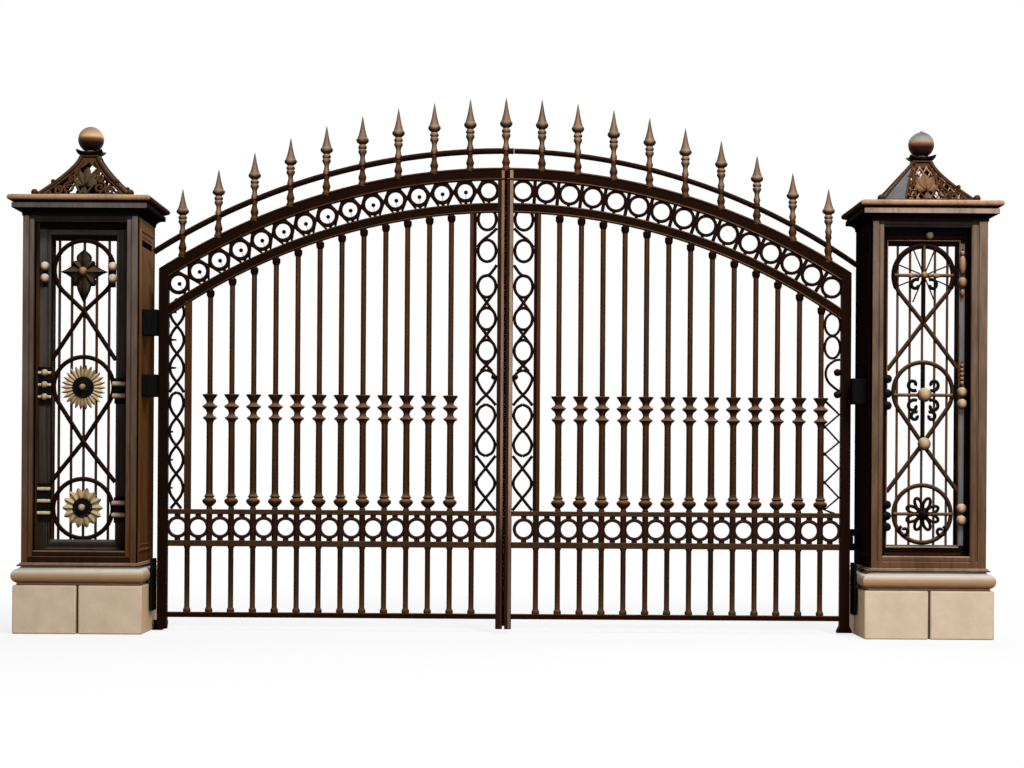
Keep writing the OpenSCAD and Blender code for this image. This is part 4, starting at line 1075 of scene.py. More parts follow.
def roof_crown(shape, shift, turn):
    """A pointed web that closes the head of an open face between its ribs."""
    rows = []
    for i in range(17):
        share = i / 8 - 1.0
        foot = 0.88 - 0.28 * abs(share)
        heights = [foot + (0.98 - foot) * k / 4 for k in range(5)]
        row = [(t, -0.004) for t in heights] + [(t, -0.009) for t in reversed(heights)]
        rows.append([shift @ roof_place(share * (roof_half(t) - 0.012), t, turn, out) for t, out in row])
    return shape.loops(rows)


# lean, length, half width and root of each leaflet of the cast fan
LEAFLETS = ((0.0, 0.108, 0.0180, 0.056), (32.0, 0.100, 0.0175, 0.056), (-32.0, 0.100, 0.0175, 0.056),
            (64.0, 0.080, 0.0160, 0.056), (-64.0, 0.080, 0.0160, 0.056), (180.0, 0.046, 0.0160, 0.062))
leaf_finish = {LEFT: leaf_bronze, RIGHT: warm_bronze}
for side, name in SIDES:
    shift = Matrix.Translation((side * PILLAR_X, 0.0, 0.0))
    ribs = []
    thin_ribs = []
    slim = []
    knobs = Shape()
    for quarter in range(4):
        turn = math.radians(90 * quarter)
        path = []
        flat = side == RIGHT and quarter in (2, 3)
        for i in range(17):
            t = i / 16
            point = roof_place(roof_half(t) - 0.004, t, turn, -0.004)
            if flat:
                point.x = 0.004 - straight_half(t)
            path.append(shift @ point)
        (thin_ribs if flat else ribs).append((path, False))
        for s in (-1, 1):
            if side == RIGHT and (quarter == 3 or (quarter, s) == (0, -1)):
                continue
            line = [shift @ roof_place(s * (roof_half(i / 20) - 0.027), i / 20, turn, -0.002)
                    for i in range(18)]
            slim.append((line, False))
        foot = shift @ roof_place(roof_half(0.0) - 0.002, 0.0, turn, -0.002)
        knobs.ball((foot.x, foot.y, ROOF_Z + 0.018), 0.018, 14)
        if not flat:
            curl = shift @ roof_place(roof_half(0.33), 0.33, turn)
            knobs.ball((curl.x, curl.y, curl.z + 0.010), 0.012, 12)
    eaves = []
    scrolls = []
    slats = []
    leaves = Shape()
    crowns = Shape()
    inner = 1 if side == LEFT else 3
    for quarter in range(4):
        if quarter == inner:
            continue
        turn = math.radians(90 * quarter)
        eaves.append(([shift @ roof_place(u * 0.232, 0.035, turn, -0.004) for u in (-1, 0, 1)], False))
        edge = sheet_edge if side == RIGHT and quarter == 0 else None
        for path, closed in on_roof(roof_scrolls(), turn, 0.0, edge):
            scrolls.append(([shift @ p for p in path], closed))
        if side == RIGHT:
            for path, closed in on_roof(roof_lattice(), turn, -0.004, edge):
                slats.append(([shift @ p for p in path], closed))
        roof_crown(crowns, shift, turn)
        # cast leaflets fan out from one root, the middle one tallest and one hanging down
        for lean, long, wide, root in LEAFLETS:
            def on_face(along, across, out, turn=turn, lean=math.radians(lean), root=root):
                up = root + along * math.cos(lean) - across * math.sin(lean)
                wide_at = along * math.sin(lean) * (1.0 - 2.2 * along) + across * math.cos(lean)
                return shift @ roof_place(wide_at, min(max(up / ROOF_H, 0.02), 0.96), turn, out)

            leaf(leaves, leaflet_outline(long, wide), on_face, 0.013)
    sheets = Shape()
    turn = math.radians(90 * inner)
    slope = roof_half if side == LEFT else straight_half
    roof_plate(sheets, lambda a, t, out: shift @ roof_place(a, t, turn, out, slope),
               lambda t: 0.004 - roof_half(t), lambda t: roof_half(t) - 0.004, 1.0)
    if side == RIGHT:
        # part of the front face is closed as well, up to a slim rib
        roof_plate(sheets, lambda a, t, out: shift @ roof_place(a, t, 0.0, out),
                   lambda t: 0.004 - straight_half(t), sheet_edge, 0.94)
        slim.append(([shift @ roof_place(sheet_edge(i / 20), i / 20, 0.0) for i in range(19)], False))
    parts = [bent_bars(ribs, 0.0115, roof_bronze, 12), bent_bars(slim, 0.0055, roof_bronze, 8),
             painted(knobs, roof_bronze), bent_bars(eaves, 0.009, roof_bronze),
             bent_bars(scrolls, 0.0064, roof_bronze, 8), painted(leaves, leaf_finish[side]),
             painted(crowns, roof_bronze), painted(sheets, roof_sheet)]
    if thin_ribs:
        parts.append(bent_bars(thin_ribs, 0.0075, roof_bronze, 10))
    if slats:
        parts.append(bent_bars(slats, 0.0032, copper, 6))
    built(name + "_roof", parts, "pillars", "dark_iron", (name + "_pagoda_roof",), 50.0)

# %% [markdown]
# A hollow iron ball stands on a short neck and a thin square collar whose corners turn
# up a little. Ball and neck are turned in one, because a sphere set on a neck would leave
# a hard seam. The collar is a stack of square outlines that lift towards their corners.

# %% Ball finials
for side, name in SIDES:
    low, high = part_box(name + "_ball_finial")
    centre_x = (low.x + high.x) / 2
    finial = Shape()
    finial.square((centre_x, 0.0, low.z),
                  [(0.046, -0.004), (0.050, 0.002), (0.047, 0.010), (0.050, 0.011)])
    rings = []
    for lift, wide in ((0.011, 0.052), (0.016, 0.060), (0.022, 0.0655), (0.027, 0.066), (0.028, 0.060),
                       (0.026, 0.034)):
        ring = []
        for i in range(32):
            u = i / 8
            corner = u % 1.0
            edge = int(u)
            a = -1 + 2 * corner
            flat = Matrix.Rotation(math.radians(90 * edge), 3, "Z") @ Vector((a * wide, -wide, 0.0))
            up = lift + 0.010 * abs(a) ** 3 * (1 if wide > 0.050 else 0)
            ring.append((centre_x + flat.x, flat.y, low.z + up))
        rings.append(ring)
    finial.loops(rings)
    radius = 0.065
    ball_z = high.z - radius
    neck = [(0.034, low.z + 0.024), (0.036, low.z + 0.030), (0.028, low.z + 0.035),
            (0.026, low.z + 0.040)]
    for i in range(25):
        angle = math.radians(-68 + 158 * i / 24)
        neck.append((radius * math.cos(angle), ball_z + radius * math.sin(angle)))
    if side == RIGHT:
        neck = neck[:-3] + [(0.012, ball_z + 0.0655), (0.006, ball_z + 0.069), (0.0, ball_z + 0.072)]
    finial.turned((centre_x, 0.0, 0.0), neck, 40, 1)
    ball_finish = ball_copper if side == LEFT else ball_silver
    piece(name + "_finial", finial, [dark_iron, ball_finish], "pillars", "bronze_iron",
          (name + "_ball_finial",), 0.0, 40.0)

# %% [markdown]
# Behind each front face sits a grille: an inner frame, grey on the left and, as painted shade
# in its recess, near black on the right, five slim upright bars and two long bars that are
# bent into teardrop loops, cross below them and run out to the frame, with a full ring at the
# foot. The loops follow a rule: an arc over the top, then the straight line that leaves the
# arc and passes through the crossing.

# %% Grilles
GRILLE_Y = -0.165
GRILLE_HALF = 0.222
FRAME_FRONT = -0.180
LOOP_R = 0.148
LOOP_TOP = 1.806
LOOP_MID = 1.2255
LOOP_LOW = 0.617
CROSS_LOW = {LEFT: 0.9515, RIGHT: 0.966}
CROSS_HIGH = {LEFT: 1.602, RIGHT: 1.570}
OPEN_HALF = 0.160
GRILLE_PITCH = 0.062
STRAP_R = 0.0112
LOOP_X = {LEFT: 0.0, RIGHT: -0.013}
OPENING = {LEFT: (-0.160, 0.160), RIGHT: (-0.191, 0.161)}
BAR_SHIFT = {LEFT: 0.0, RIGHT: -0.017}


def teardrop(loop_z, cross_z, end_z, depth, ends):
    """A long bar: up from one side through the crossing, over the loop and back down. ends
    are the two edges of the opening, where the bar is held."""
    drop = loop_z - cross_z
    lean = math.asin(LOOP_R / drop)
    run = math.sqrt(drop * drop - LOOP_R * LOOP_R)
    touch = (run * math.sin(lean), cross_z + run * math.cos(lean))
    legs = [(x, cross_z + (end_z - cross_z) * abs(x) / OPEN_HALF) for x in ends]
    points = [legs[0], (legs[0][0] * 0.5, (legs[0][1] + cross_z) / 2), (0.0, cross_z)]
    points.append((touch[0] * 0.5, (touch[1] + cross_z) / 2))
    start = math.atan2(touch[1] - loop_z, touch[0])
    sweep = math.pi - 2 * start
    for i in range(41):
        angle = start + sweep * i / 40
        points.append((LOOP_R * math.cos(angle), loop_z + LOOP_R * math.sin(angle)))
    points.append((-touch[0] * 0.5, (touch[1] + cross_z) / 2))
    points += [(0.0, cross_z), (legs[1][0] * 0.5, (legs[1][1] + cross_z) / 2), legs[1]]
    count = len(points)
    path = []
    for i, (x, z) in enumerate(points):
        path.append((x, GRILLE_Y + depth * math.cos(math.pi * i / (count - 1)), z))
    return path


for side, name in SIDES:
    low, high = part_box(name + "_grille")
    centre_x = side * PILLAR_X
    loop_x = centre_x + LOOP_X[side]
    left_edge, right_edge = OPENING[side]
    outer = (centre_x - GRILLE_HALF, centre_x + GRILLE_HALF, low.z, high.z, GRILLE_HALF + left_edge,
             GRILLE_HALF - right_edge, 0.104, 0.091)
    lines = ((0.0, 0.030), (0.0, 0.002), (0.04, 0.0), (0.62, 0.0), (0.66, 0.004), (0.72, 0.005),
             (0.78, 0.002), (0.90, 0.002), (0.96, 0.006), (1.0, 0.012), (1.0, 0.030))
    inner = frame_ring(Shape(), outer, [(s, FRAME_FRONT + d) for s, d in lines])
    bars = []
    for i in range(-2, 3):
        x = centre_x + BAR_SHIFT[side] + i * GRILLE_PITCH
        bars.append(([(x, GRILLE_Y + 0.004, low.z + 0.100), (x, GRILLE_Y + 0.004, high.z - 0.088)],
                     False))
    straps = []
    for loop_z, cross_z, end_z in ((LOOP_TOP, CROSS_HIGH[side], LOOP_MID + LOOP_R * 0.9),
                                   (LOOP_MID, CROSS_LOW[side], LOOP_LOW + LOOP_R * 0.9)):
        path = teardrop(loop_z, cross_z, end_z, 0.004, [x - LOOP_X[side] for x in OPENING[side]])
        straps.append(([Vector(p) + Vector((loop_x, -0.004, 0.0)) for p in path], False))
    ring = []
    foot_r = LOOP_R if side == LEFT else 0.143
    for i in range(48):
        angle = 2 * math.pi * i / 48
        ring.append((loop_x + foot_r * math.cos(angle), GRILLE_Y - 0.004,
                     LOOP_LOW + foot_r * math.sin(angle)))
    straps.append((ring, True))
    # a black header and liner, painted shade at the head of the opening, and a pale sill at its foot
    header = Shape()
    header.block((centre_x - 0.220, FRAME_FRONT - 0.003, high.z - 0.057),
                 (centre_x + 0.220, FRAME_FRONT + 0.006, high.z - 0.026))
    header.block((centre_x + left_edge - 0.002, FRAME_FRONT + 0.008, high.z - 0.113),
                 (centre_x + right_edge + 0.002, FRAME_FRONT + 0.026, high.z - 0.088))
    sill = Shape()
    sill.block((centre_x + left_edge - 0.002, FRAME_FRONT + 0.002, low.z + 0.100),
               (centre_x + right_edge + 0.002, FRAME_FRONT + 0.022, low.z + 0.112))
    strap_finish = deep_iron if side == LEFT else strap_bronze
    bar_finish = bronze if side == LEFT else warm_bronze
    bar_r = 0.0070 if side == LEFT else 0.0064
    # painted shade: the right inner frame is near black for the shade in its recess
    parts = [painted(inner, grey_iron if side == LEFT else deep_iron), painted(header, painted_shade_black),
             painted(sill, sheet_grey), bent_bars(bars, bar_r, bar_finish),
             bent_bars(straps, STRAP_R, strap_finish, 12)]
    if side == RIGHT:
        # the right opening has a thin copper line round it, bright as a painted highlight on the lit
        # edge of the opening, a grey strip beside it and a thicker bar over the top loop
        y = FRAME_FRONT - 0.002
        x0 = centre_x + left_edge - 0.004
        x1 = centre_x + right_edge + 0.004
        line = [(x0, y, low.z + 0.100), (x1, y, low.z + 0.100), (x1, y, high.z - 0.087),
                (x0, y, high.z - 0.087)]
        parts.append(bent_bars([(line, True)], 0.0052, copper, 8))
        strip = Shape()
        strip.block((x1 + 0.004, FRAME_FRONT - 0.003, low.z + 0.110),
                    (x1 + 0.025, FRAME_FRONT + 0.004, high.z - 0.100))
        parts.append(painted(strip, strip_grey))
        hood = []
        for i in range(41):
            angle = math.radians(-25 + 230 * i / 40)
            hood.append((loop_x + LOOP_R * math.cos(angle), GRILLE_Y - 0.006,
                         LOOP_TOP + LOOP_R * math.sin(angle)))
        parts.append(bent_bars([(hood, False)], 0.0140, deep_iron, 12))
    built(name + "_grille_work", parts, "pillars", "bronze_iron", (name + "_grille",))

# %% [markdown]
# The cast ornaments sit on the grille. The left pillar has a flower of cast leaves and
# two daisies, with balls and gold bands on the inner frame. A daisy's petal is one shape,
# set round its centre by the row tree, each copy turned a little further. The flower's
# leaves differ, so each is drawn from its own list of half widths.


# %% Cast flowers
def petal_shape(root, tip, width, thick, point):
    """A petal that lies along x, standing forward along -y; point sharpens its tip."""
    def place(along, across, out):
        return (root + along, -out, across)

    outline = []
    length = tip - root
    for i in range(13):
        share = i / 12
        half = width * math.sin(math.pi * (0.10 + 0.90 * share) ** point) ** 0.8
        outline.append((length * share, half))
    return leaf(Shape(), outline, place, thick)


def petal_ring(shape, centre, count, finish, start=0.0):
    """The same petal set round a centre, one after another."""
    turns = [(0.0, start + 2 * math.pi * i / count, 0.0) for i in range(count)]
    return row_of(shape, [centre] * count, finish, None, turns)


def boss(shape, centre, profile, steps=28):
    """A turned boss on a face that looks forward: profile is radius and height."""
    return shape.turned(centre, [(r, -h) for r, h in profile], steps, 0, "Y")


def round_ball(shape, centre, radius, neck=0.6):
    """A ball on a short neck that stands forward from a face."""
    profile = [(radius * neck, 0.0), (radius * neck, radius * 0.25)]
    for i in range(13):
        angle = math.radians(-55 + 145 * i / 12)
        profile.append((radius * math.cos(angle), radius * 1.02 + radius * math.sin(angle)))
    return boss(shape, centre, profile, 20)


ORNAMENT_X = 0.191
BAR_FRONT = -0.172
FLOWER_Z = LOOP_TOP - 0.009
DAISY_Z = LOOP_MID - 0.004
SUN_Z = LOOP_LOW + 0.004
BAND_PITCH = 0.060
left_x = -PILLAR_X
flower_at = (left_x, BAR_FRONT - 0.004, FLOWER_Z)
daisy_at = (left_x, BAR_FRONT - 0.004, DAISY_Z)
sun_at = (left_x, BAR_FRONT - 0.004, SUN_Z)
# outlines of the flower's leaves: share of the length and half width
SPADE = ((0.0, 0.012), (0.20, 0.019), (0.36, 0.025), (0.52, 0.033), (0.64, 0.035), (0.76, 0.029),
         (0.88, 0.016), (1.0, 0.0008))
WING = ((0.0, 0.022), (0.18, 0.033), (0.32, 0.036), (0.46, 0.031), (0.60, 0.022), (0.76, 0.011),
        (0.88, 0.006), (1.0, 0.0008))
DROP = ((0.0, 0.014), (0.18, 0.024), (0.32, 0.031), (0.44, 0.033), (0.60, 0.027), (0.80, 0.014),
        (1.0, 0.0008))
LOBE = ((0.0, 0.016), (0.30, 0.020), (0.60, 0.022), (0.80, 0.017), (0.93, 0.009), (1.0, 0.0008))
flower = Shape()
flower_under = Shape()
for outline, long, angle in ((LOBE, 0.084, 232), (LOBE, 0.084, 308), (LOBE, 0.070, 45),
                             (LOBE, 0.070, 135), (SPADE, 0.106, 90), (WING, 0.110, 180), (WING, 0.112, 0),
                             (DROP, 0.150, 270)):
    way = Vector((math.cos(math.radians(angle)), 0.0, math.sin(math.radians(angle))))
    aside = Vector((-way.z, 0.0, way.x))

    def on_flower(along, across, out, way=way, aside=aside):
        return Vector(flower_at) + way * along + aside * across + Vector((0.0, -out, 0.0))

    leaf(flower, [(long * share, half * 0.86) for share, half in outline], on_flower, 0.024)
    leaf(flower_under, [(long * share * 1.06, half * 1.12) for share, half in outline], on_flower, 0.010)
daisy = petal_ring(petal_shape(0.044, 0.112, 0.0112, 0.011, 1.0), daisy_at, 26, gold)
sun = petal_ring(petal_shape(0.040, 0.102, 0.0175, 0.014, 1.15), sun_at, 14, gold)
sun_under = petal_ring(petal_shape(0.040, 0.084, 0.012, 0.006, 1.0), sun_at, 14, gold, math.pi / 14)
discs = Shape()
boss(discs, (left_x, BAR_FRONT, DAISY_Z),
     [(0.050, 0.0), (0.054, 0.006), (0.054, 0.014), (0.050, 0.019), (0.042, 0.016), (0.030, 0.020),
      (0.0, 0.021)])
boss(discs, (left_x, BAR_FRONT, SUN_Z),
     [(0.046, 0.0), (0.050, 0.006), (0.050, 0.014), (0.046, 0.019), (0.038, 0.016), (0.026, 0.020),
      (0.0, 0.021)])
boss(discs, (left_x, BAR_FRONT, FLOWER_Z), [(0.026, 0.0), (0.030, 0.008), (0.026, 0.018), (0.0, 0.021)])
hearts = Shape()
round_ball(hearts, (left_x, BAR_FRONT - 0.016, FLOWER_Z), 0.022)
round_ball(hearts, (left_x, BAR_FRONT - 0.016, DAISY_Z), 0.017)
seed = Shape()
round_ball(seed, (left_x, BAR_FRONT - 0.016, SUN_Z), 0.019)
pearls = Shape()
backs = Shape()
bands = Shape()
broad_bands = Shape()
for s in (-1, 1):
    x = left_x + s * ORNAMENT_X
    pearl_x = x if s < 0 else left_x + 0.146
    for i in (0, 1):
        round_ball(pearls, (pearl_x, FRAME_FRONT, LOOP_TOP + 0.016 - i * BAND_PITCH), 0.0235)
    backs.block((pearl_x - 0.012, FRAME_FRONT - 0.004, LOOP_TOP - 0.085),
                (pearl_x + 0.012, FRAME_FRONT + 0.010, LOOP_TOP + 0.035))
    count = 3 if s < 0 else 2
    tops = (LOOP_MID + 0.066, LOOP_LOW + 0.096) if s < 0 else (LOOP_MID + 0.013, LOOP_LOW + 0.028)
    for top in tops:
        foot = top - (count - 1) * BAND_PITCH
        backs.block((x - 0.034, FRAME_FRONT - 0.010, foot - 0.038), (x + 0.034, FRAME_FRONT, top + 0.030))
        for i in range(count):
            at = (x, FRAME_FRONT - 0.012, top - i * BAND_PITCH)
            long = 0.036
            if s > 0:
                broad = (x - 0.003, FRAME_FRONT - 0.018, at[2])
                broad_bands.turned(broad, [(0.004, -0.043), (0.0125, -0.039), (0.0135, 0.0),
                                           (0.0125, 0.039), (0.004, 0.043)], 14, 0, "X")
                continue
            if top < LOOP_MID - 0.2:
                bands.turned(at, [(0.003, -long), (0.0095, -long + 0.004), (0.0105, 0.0),
                                  (0.0095, long - 0.004), (0.003, long)], 14, 0, "X")
                continue
            bands.turned(at, [(0.002, -long), (0.008, -long + 0.004), (0.0085, -0.016), (0.0165, -0.009),
                              (0.0185, 0.0), (0.0165, 0.009), (0.0085, 0.016), (0.008, long - 0.004),
                              (0.002, long)], 16, 0, "X")
built("left_flowers", (
    painted(flower, leaf_bronze), painted(flower_under, black_iron), daisy, sun, sun_under,
    painted(discs, black_iron), painted(hearts, copper), painted(seed, gold), painted(pearls, cream),
    painted(backs, black_iron), painted(bands, gold), painted(broad_bands, band_gold)),
    "pillars", "gold_trim", ("left_grille_ornaments",), 45.0)

# %% [markdown]
# The right grille has a wheel of thin spokes, turned spindles, small scrolls round a
# ball, and an openwork rosette. Spindles are turned; spokes and scrolls are bent bars.


# %% Spindles and scrolls
def spindle(shape, centre, parts, axis="Z"):
    """A row of turned beads on a stem: each part is a place, a half length and a radius."""
    for at, half, radius in parts:
        profile = []
        for i in range(9):
            angle = math.pi * i / 8
            profile.append((max(radius * math.sin(angle), 0.003), at - half * math.cos(angle)))
        shape.turned(centre, profile, 16, 0, axis)
    return shape


right_x = PILLAR_X + LOOP_X[RIGHT]
hub_z = LOOP_MID - 0.016
face_y = BAR_FRONT - 0.010
spokes = []
for i in range(8):
    angle = math.radians(22.5 + 45 * i)
    tip = LOOP_R - 0.004
    spokes.append(([(right_x + 0.020 * math.cos(angle), face_y, LOOP_TOP + 0.020 * math.sin(angle)),
                    (right_x + tip * math.cos(angle), face_y, LOOP_TOP + tip * math.sin(angle))], False))
scrolls = []
for s in (-1, 1):
    for cx, cz, start_r, turns, start in (
            (0.040, LOOP_TOP - 0.048, 0.030, -0.85, 120), (0.050, hub_z + 0.052, 0.032, 0.9, -120),
            (0.048, hub_z - 0.056, 0.034, -0.9, 120), (0.040, hub_z - 0.106, 0.024, -0.9, 120)):
        line = spiral(s * cx, cz, start_r, 0.010, start if s > 0 else 180 - start, s * turns)
        scrolls.append(([(right_x + a, face_y, z) for a, z in line], False))
rosette = []
for i in range(8):
    turn = math.radians(22.5 + 45 * i)
    line = []
    for k in range(15):
        angle = 2 * math.pi * k / 15
        reach = 0.054 + 0.030 * math.cos(angle)
        wide = 0.016 * math.sin(angle)
        line.append((right_x + reach * math.cos(turn) - wide * math.sin(turn), face_y,
                     LOOP_LOW + reach * math.sin(turn) + wide * math.cos(turn)))
    rosette.append((line, True))
for s in (-1, 1):
    line = spiral(s * 0.090, LOOP_LOW - 0.085, 0.028, 0.008, 60 if s > 0 else 120, -s * 1.1)
    rosette.append(([(right_x + a, face_y, z) for a, z in line], False))
STEM_HALF = 0.146
level = [[(right_x - STEM_HALF, face_y, z), (right_x + STEM_HALF, face_y, z)]
         for z in (LOOP_TOP, hub_z, LOOP_LOW)]
rise = [(right_x, face_y, LOOP_TOP), (right_x, face_y, LOOP_TOP + 0.150)]
stems = [(line, False) for line in (level[0], rise, level[1], level[2])]
posts = []
for top, foot in ((LOOP_TOP, CROSS_HIGH[RIGHT]), (LOOP_MID, CROSS_LOW[RIGHT])):
    posts.append(([(right_x, face_y + 0.006, top + 0.140), (right_x, face_y + 0.006, foot)], False))
beads = Shape()
spindle(beads, (right_x, face_y, LOOP_TOP),
        ((-0.062, 0.020, 0.013), (0.062, 0.020, 0.013), (-0.030, 0.012, 0.009), (0.030, 0.012, 0.009)),
        "X")
round_ball(beads, (right_x, face_y, LOOP_TOP), 0.018)
knob_x = PILLAR_X + ORNAMENT_X - 0.015
knob_y = FRAME_FRONT - 0.020
pins = []
for top, foot in ((LOOP_TOP + 0.130, LOOP_TOP - 0.110), (LOOP_MID + 0.150, LOOP_MID - 0.085)):
    pins.append(([(knob_x, knob_y, top), (knob_x, knob_y, foot)], False))
spindle(beads, (knob_x, knob_y, LOOP_TOP),
        ((0.110, 0.014, 0.012), (0.050, 0.048, 0.020), (-0.036, 0.028, 0.024), (-0.086, 0.018, 0.012)))
spindle(beads, (knob_x, knob_y, LOOP_MID), tuple((0.132 - i * 0.022, 0.011, 0.011) for i in range(5)))
globes = Shape()
for z in (LOOP_MID - 0.002, LOOP_MID - 0.060, LOOP_LOW + 0.028, LOOP_LOW - 0.031):
    round_ball(globes, (knob_x, FRAME_FRONT, z), 0.026)
round_ball(globes, (right_x, face_y, hub_z), 0.036)
round_ball(globes, (right_x, face_y - 0.002, CROSS_LOW[RIGHT]), 0.033)
round_ball(globes, (PILLAR_X + 0.012, FRAME_FRONT, LOOP_TOP + 0.196), 0.020)
dark_knobs = Shape()
for z in (LOOP_MID + 0.063, LOOP_MID - 0.010, LOOP_MID - 0.070, LOOP_LOW + 0.045, LOOP_LOW - 0.010,
          LOOP_LOW - 0.065):
    round_ball(dark_knobs, (PILLAR_X - ORNAMENT_X - 0.004, FRAME_FRONT - 0.004, z), 0.022)
round_ball(dark_knobs, (right_x, face_y, LOOP_LOW), 0.022)
built("right_scrolls", (
    bent_bars(spokes, 0.0036, dark_iron, 8), bent_bars(scrolls, 0.0088, black_iron, 8),
    bent_bars(rosette, 0.0082, deep_iron, 8), bent_bars(posts, 0.0095, deep_iron, 10),
    bent_bars(stems, 0.0088, warm_bronze, 10), bent_bars(pins, 0.006, bronze, 8), painted(beads, copper),
    painted(globes, globe_gold), painted(dark_knobs, black_iron)),
    "pillars", "gold_trim", ("right_grille_ornaments",), 45.0)

# %% [markdown]
# The leaves hang on plain stiles. Over each runs an arch of two moulded rails with a
# row of rings between them. A rail is a section carried along the arc; every ring is
# the same bent flat bar, set on its place by the ring tree.

# %% Arch rails
ARCH_Z = -0.852
MEET_X = 0.040
HINGE_X = 1.700
# inner radius, outer radius and half depth of each rail
TOP_RAIL = (3.141, 3.203, 0.021)
LOW_RAIL = (2.977, 3.026, 0.018)
TOP_START = 0.0055
LINE_INSET = 0.0048
RING_ROW_R = 3.089
LINE_R = {LEFT: 0.0021, RIGHT: 0.0028}


def arch_at(radius, x):
    return ARCH_Z + math.sqrt(radius * radius - x * x)


def arch_rail(shape, side, rail, x0, x1, lip=0.009):
    """A rail of channel section along the arch, cut upright at both ends."""
    r0, r1, half = rail
    hollow = 0.004
    count = 60
    flank = [(r0, 0.0), (r0 + lip * 0.15, 1.0), (r0 + lip, 1.0), (r0 + lip + 0.002, 0.0),
             (r1 - lip - 0.002, 0.0), (r1 - lip, 1.0), (r1 - lip * 0.15, 1.0), (r1, 0.0)]
    section = []
    for r, full in flank:
        edge = half - 0.0015 if r in (r0, r1) else half - hollow
        section.append((r, -(half if full else edge)))
    section += [(r, -y) for r, y in reversed(section)]
    rings = []
    for i in range(count + 1):
        x = x0 + (x1 - x0) * i / count
        rings.append([(side * x, y, arch_at(r, x)) for r, y in section])
    return shape.loops(rings)


for side, name in SIDES:
    rails = Shape()
    arch_rail(rails, side, TOP_RAIL, TOP_START, HINGE_X)
    arch_rail(rails, side, LOW_RAIL, MEET_X - 0.001, HINGE_X, 0.007)
    lines = []
    for rail, start in ((TOP_RAIL, TOP_START), (LOW_RAIL, MEET_X)):
        for radius in (rail[0] + LINE_INSET, rail[1] - LINE_INSET):
            for face in (-1, 1):
                run = [start + (HINGE_X - start) * i / 60 for i in range(61)]
                lines.append(([(side * x, face * (rail[2] - 0.0005), arch_at(radius, x)) for x in run],
                              False))
    # painted highlight: the thin bead lines on the rails' lips, brighter and warmer on the right leaf
    line_finish = bronze if side == LEFT else warm_bronze
    parts = (painted(rails, deep_iron), bent_bars(lines, LINE_R[side], line_finish, 6))
    leaf_piece(name, "_arch_mouldings", parts, "bronze_iron", "_arch_rails", 30.0)

# %% [markdown]
# A stud above and below ties each ring of the arch to its rails. Between the rings the
# left leaf has crossed ties, and a bead in all rings but the first; the right leaf has
# flat ties. The places lie on a circle between the rails, an even angle apart.

# %% Ring rows
RING_COUNT = 15
RING_D = 0.114
RING_BAR = {LEFT: 0.0200, RIGHT: 0.0165}
STUD_RADII = (3.0285, 3.1495)
TIE_REACH = 0.062
MARGIN = 0.047
first = math.asin((MEET_X + MARGIN) / RING_ROW_R)
last = math.asin((HINGE_X - MARGIN) / RING_ROW_R)
ring_angles = [first + (last - first) * i / (RING_COUNT - 1) for i in range(RING_COUNT)]


def on_row(side, angle, radius=RING_ROW_R, y=0.0):
    return Vector((side * radius * math.sin(angle), y, ARCH_Z + radius * math.cos(angle)))


for side, name in SIDES:
    bar = RING_BAR[side]
    places = [on_row(side, a) for a in ring_angles]
    rings = ring_row(places, (RING_D - bar) / 2, bar, 0.017, deep_iron)
    mids = [(a + b) / 2 for a, b in zip(ring_angles, ring_angles[1:])]
    studs = []
    stud_turns = []
    for a in ring_angles:
        for radius in STUD_RADII:
            studs.append(on_row(side, a, radius))
            stud_turns.append((0.0, side * a, 0.0))
    stud = Shape().block((-0.008, -0.0075, -0.0085), (0.008, 0.0075, 0.0085))
    parts = [rings, row_of(stud, studs, deep_iron, None, stud_turns)]
    if side == LEFT:
        # crossed ties between the rings, and a bead on a pin in all but the first
        ties = []
        pins = []
        beads = []
        for m in mids:
            for lean in (-1, 1):
                spread_angle = lean * 0.036 / RING_ROW_R
                ties.append(([on_row(side, m - spread_angle, RING_ROW_R + TIE_REACH), on_row(side, m),
                              on_row(side, m + spread_angle, RING_ROW_R - TIE_REACH)], False))
        for a in ring_angles[1:]:
            spot = on_row(side, a, RING_ROW_R - 0.004)
            beads.append(spot + Vector((0.003, 0.0, 0.0)))
            foot = on_row(side, a, RING_ROW_R - 0.052, 0.005)
            pins.append(([foot, spot + Vector((0.003, 0.005, 0.0))], False))
        bead = Shape().ball(ORIGIN, 0.0105, 12)
        parts += [bent_bars(ties, 0.0056, deep_iron, 8), bent_bars(pins, 0.0013, deep_iron, 6),
                  row_of(bead, beads, deep_iron)]
    else:
        tie = Shape().block((-0.009, -0.0075, -TIE_REACH), (0.009, 0.0075, TIE_REACH))
        turns = [(0.0, m, 0.0) for m in mids]
        parts.append(row_of(tie, [on_row(side, m) for m in mids], deep_iron, None, turns))
    leaf_piece(name, "_ring_row", parts, "dark_iron", "_arch_rings", 40.0)

# %% [markdown]
# Pickets are turned on a lathe and all alike, so one pattern is drawn and the row tree
# repeats it. Their upper shafts end at the arch, each at its own length, which the row's
# own stretch gives.

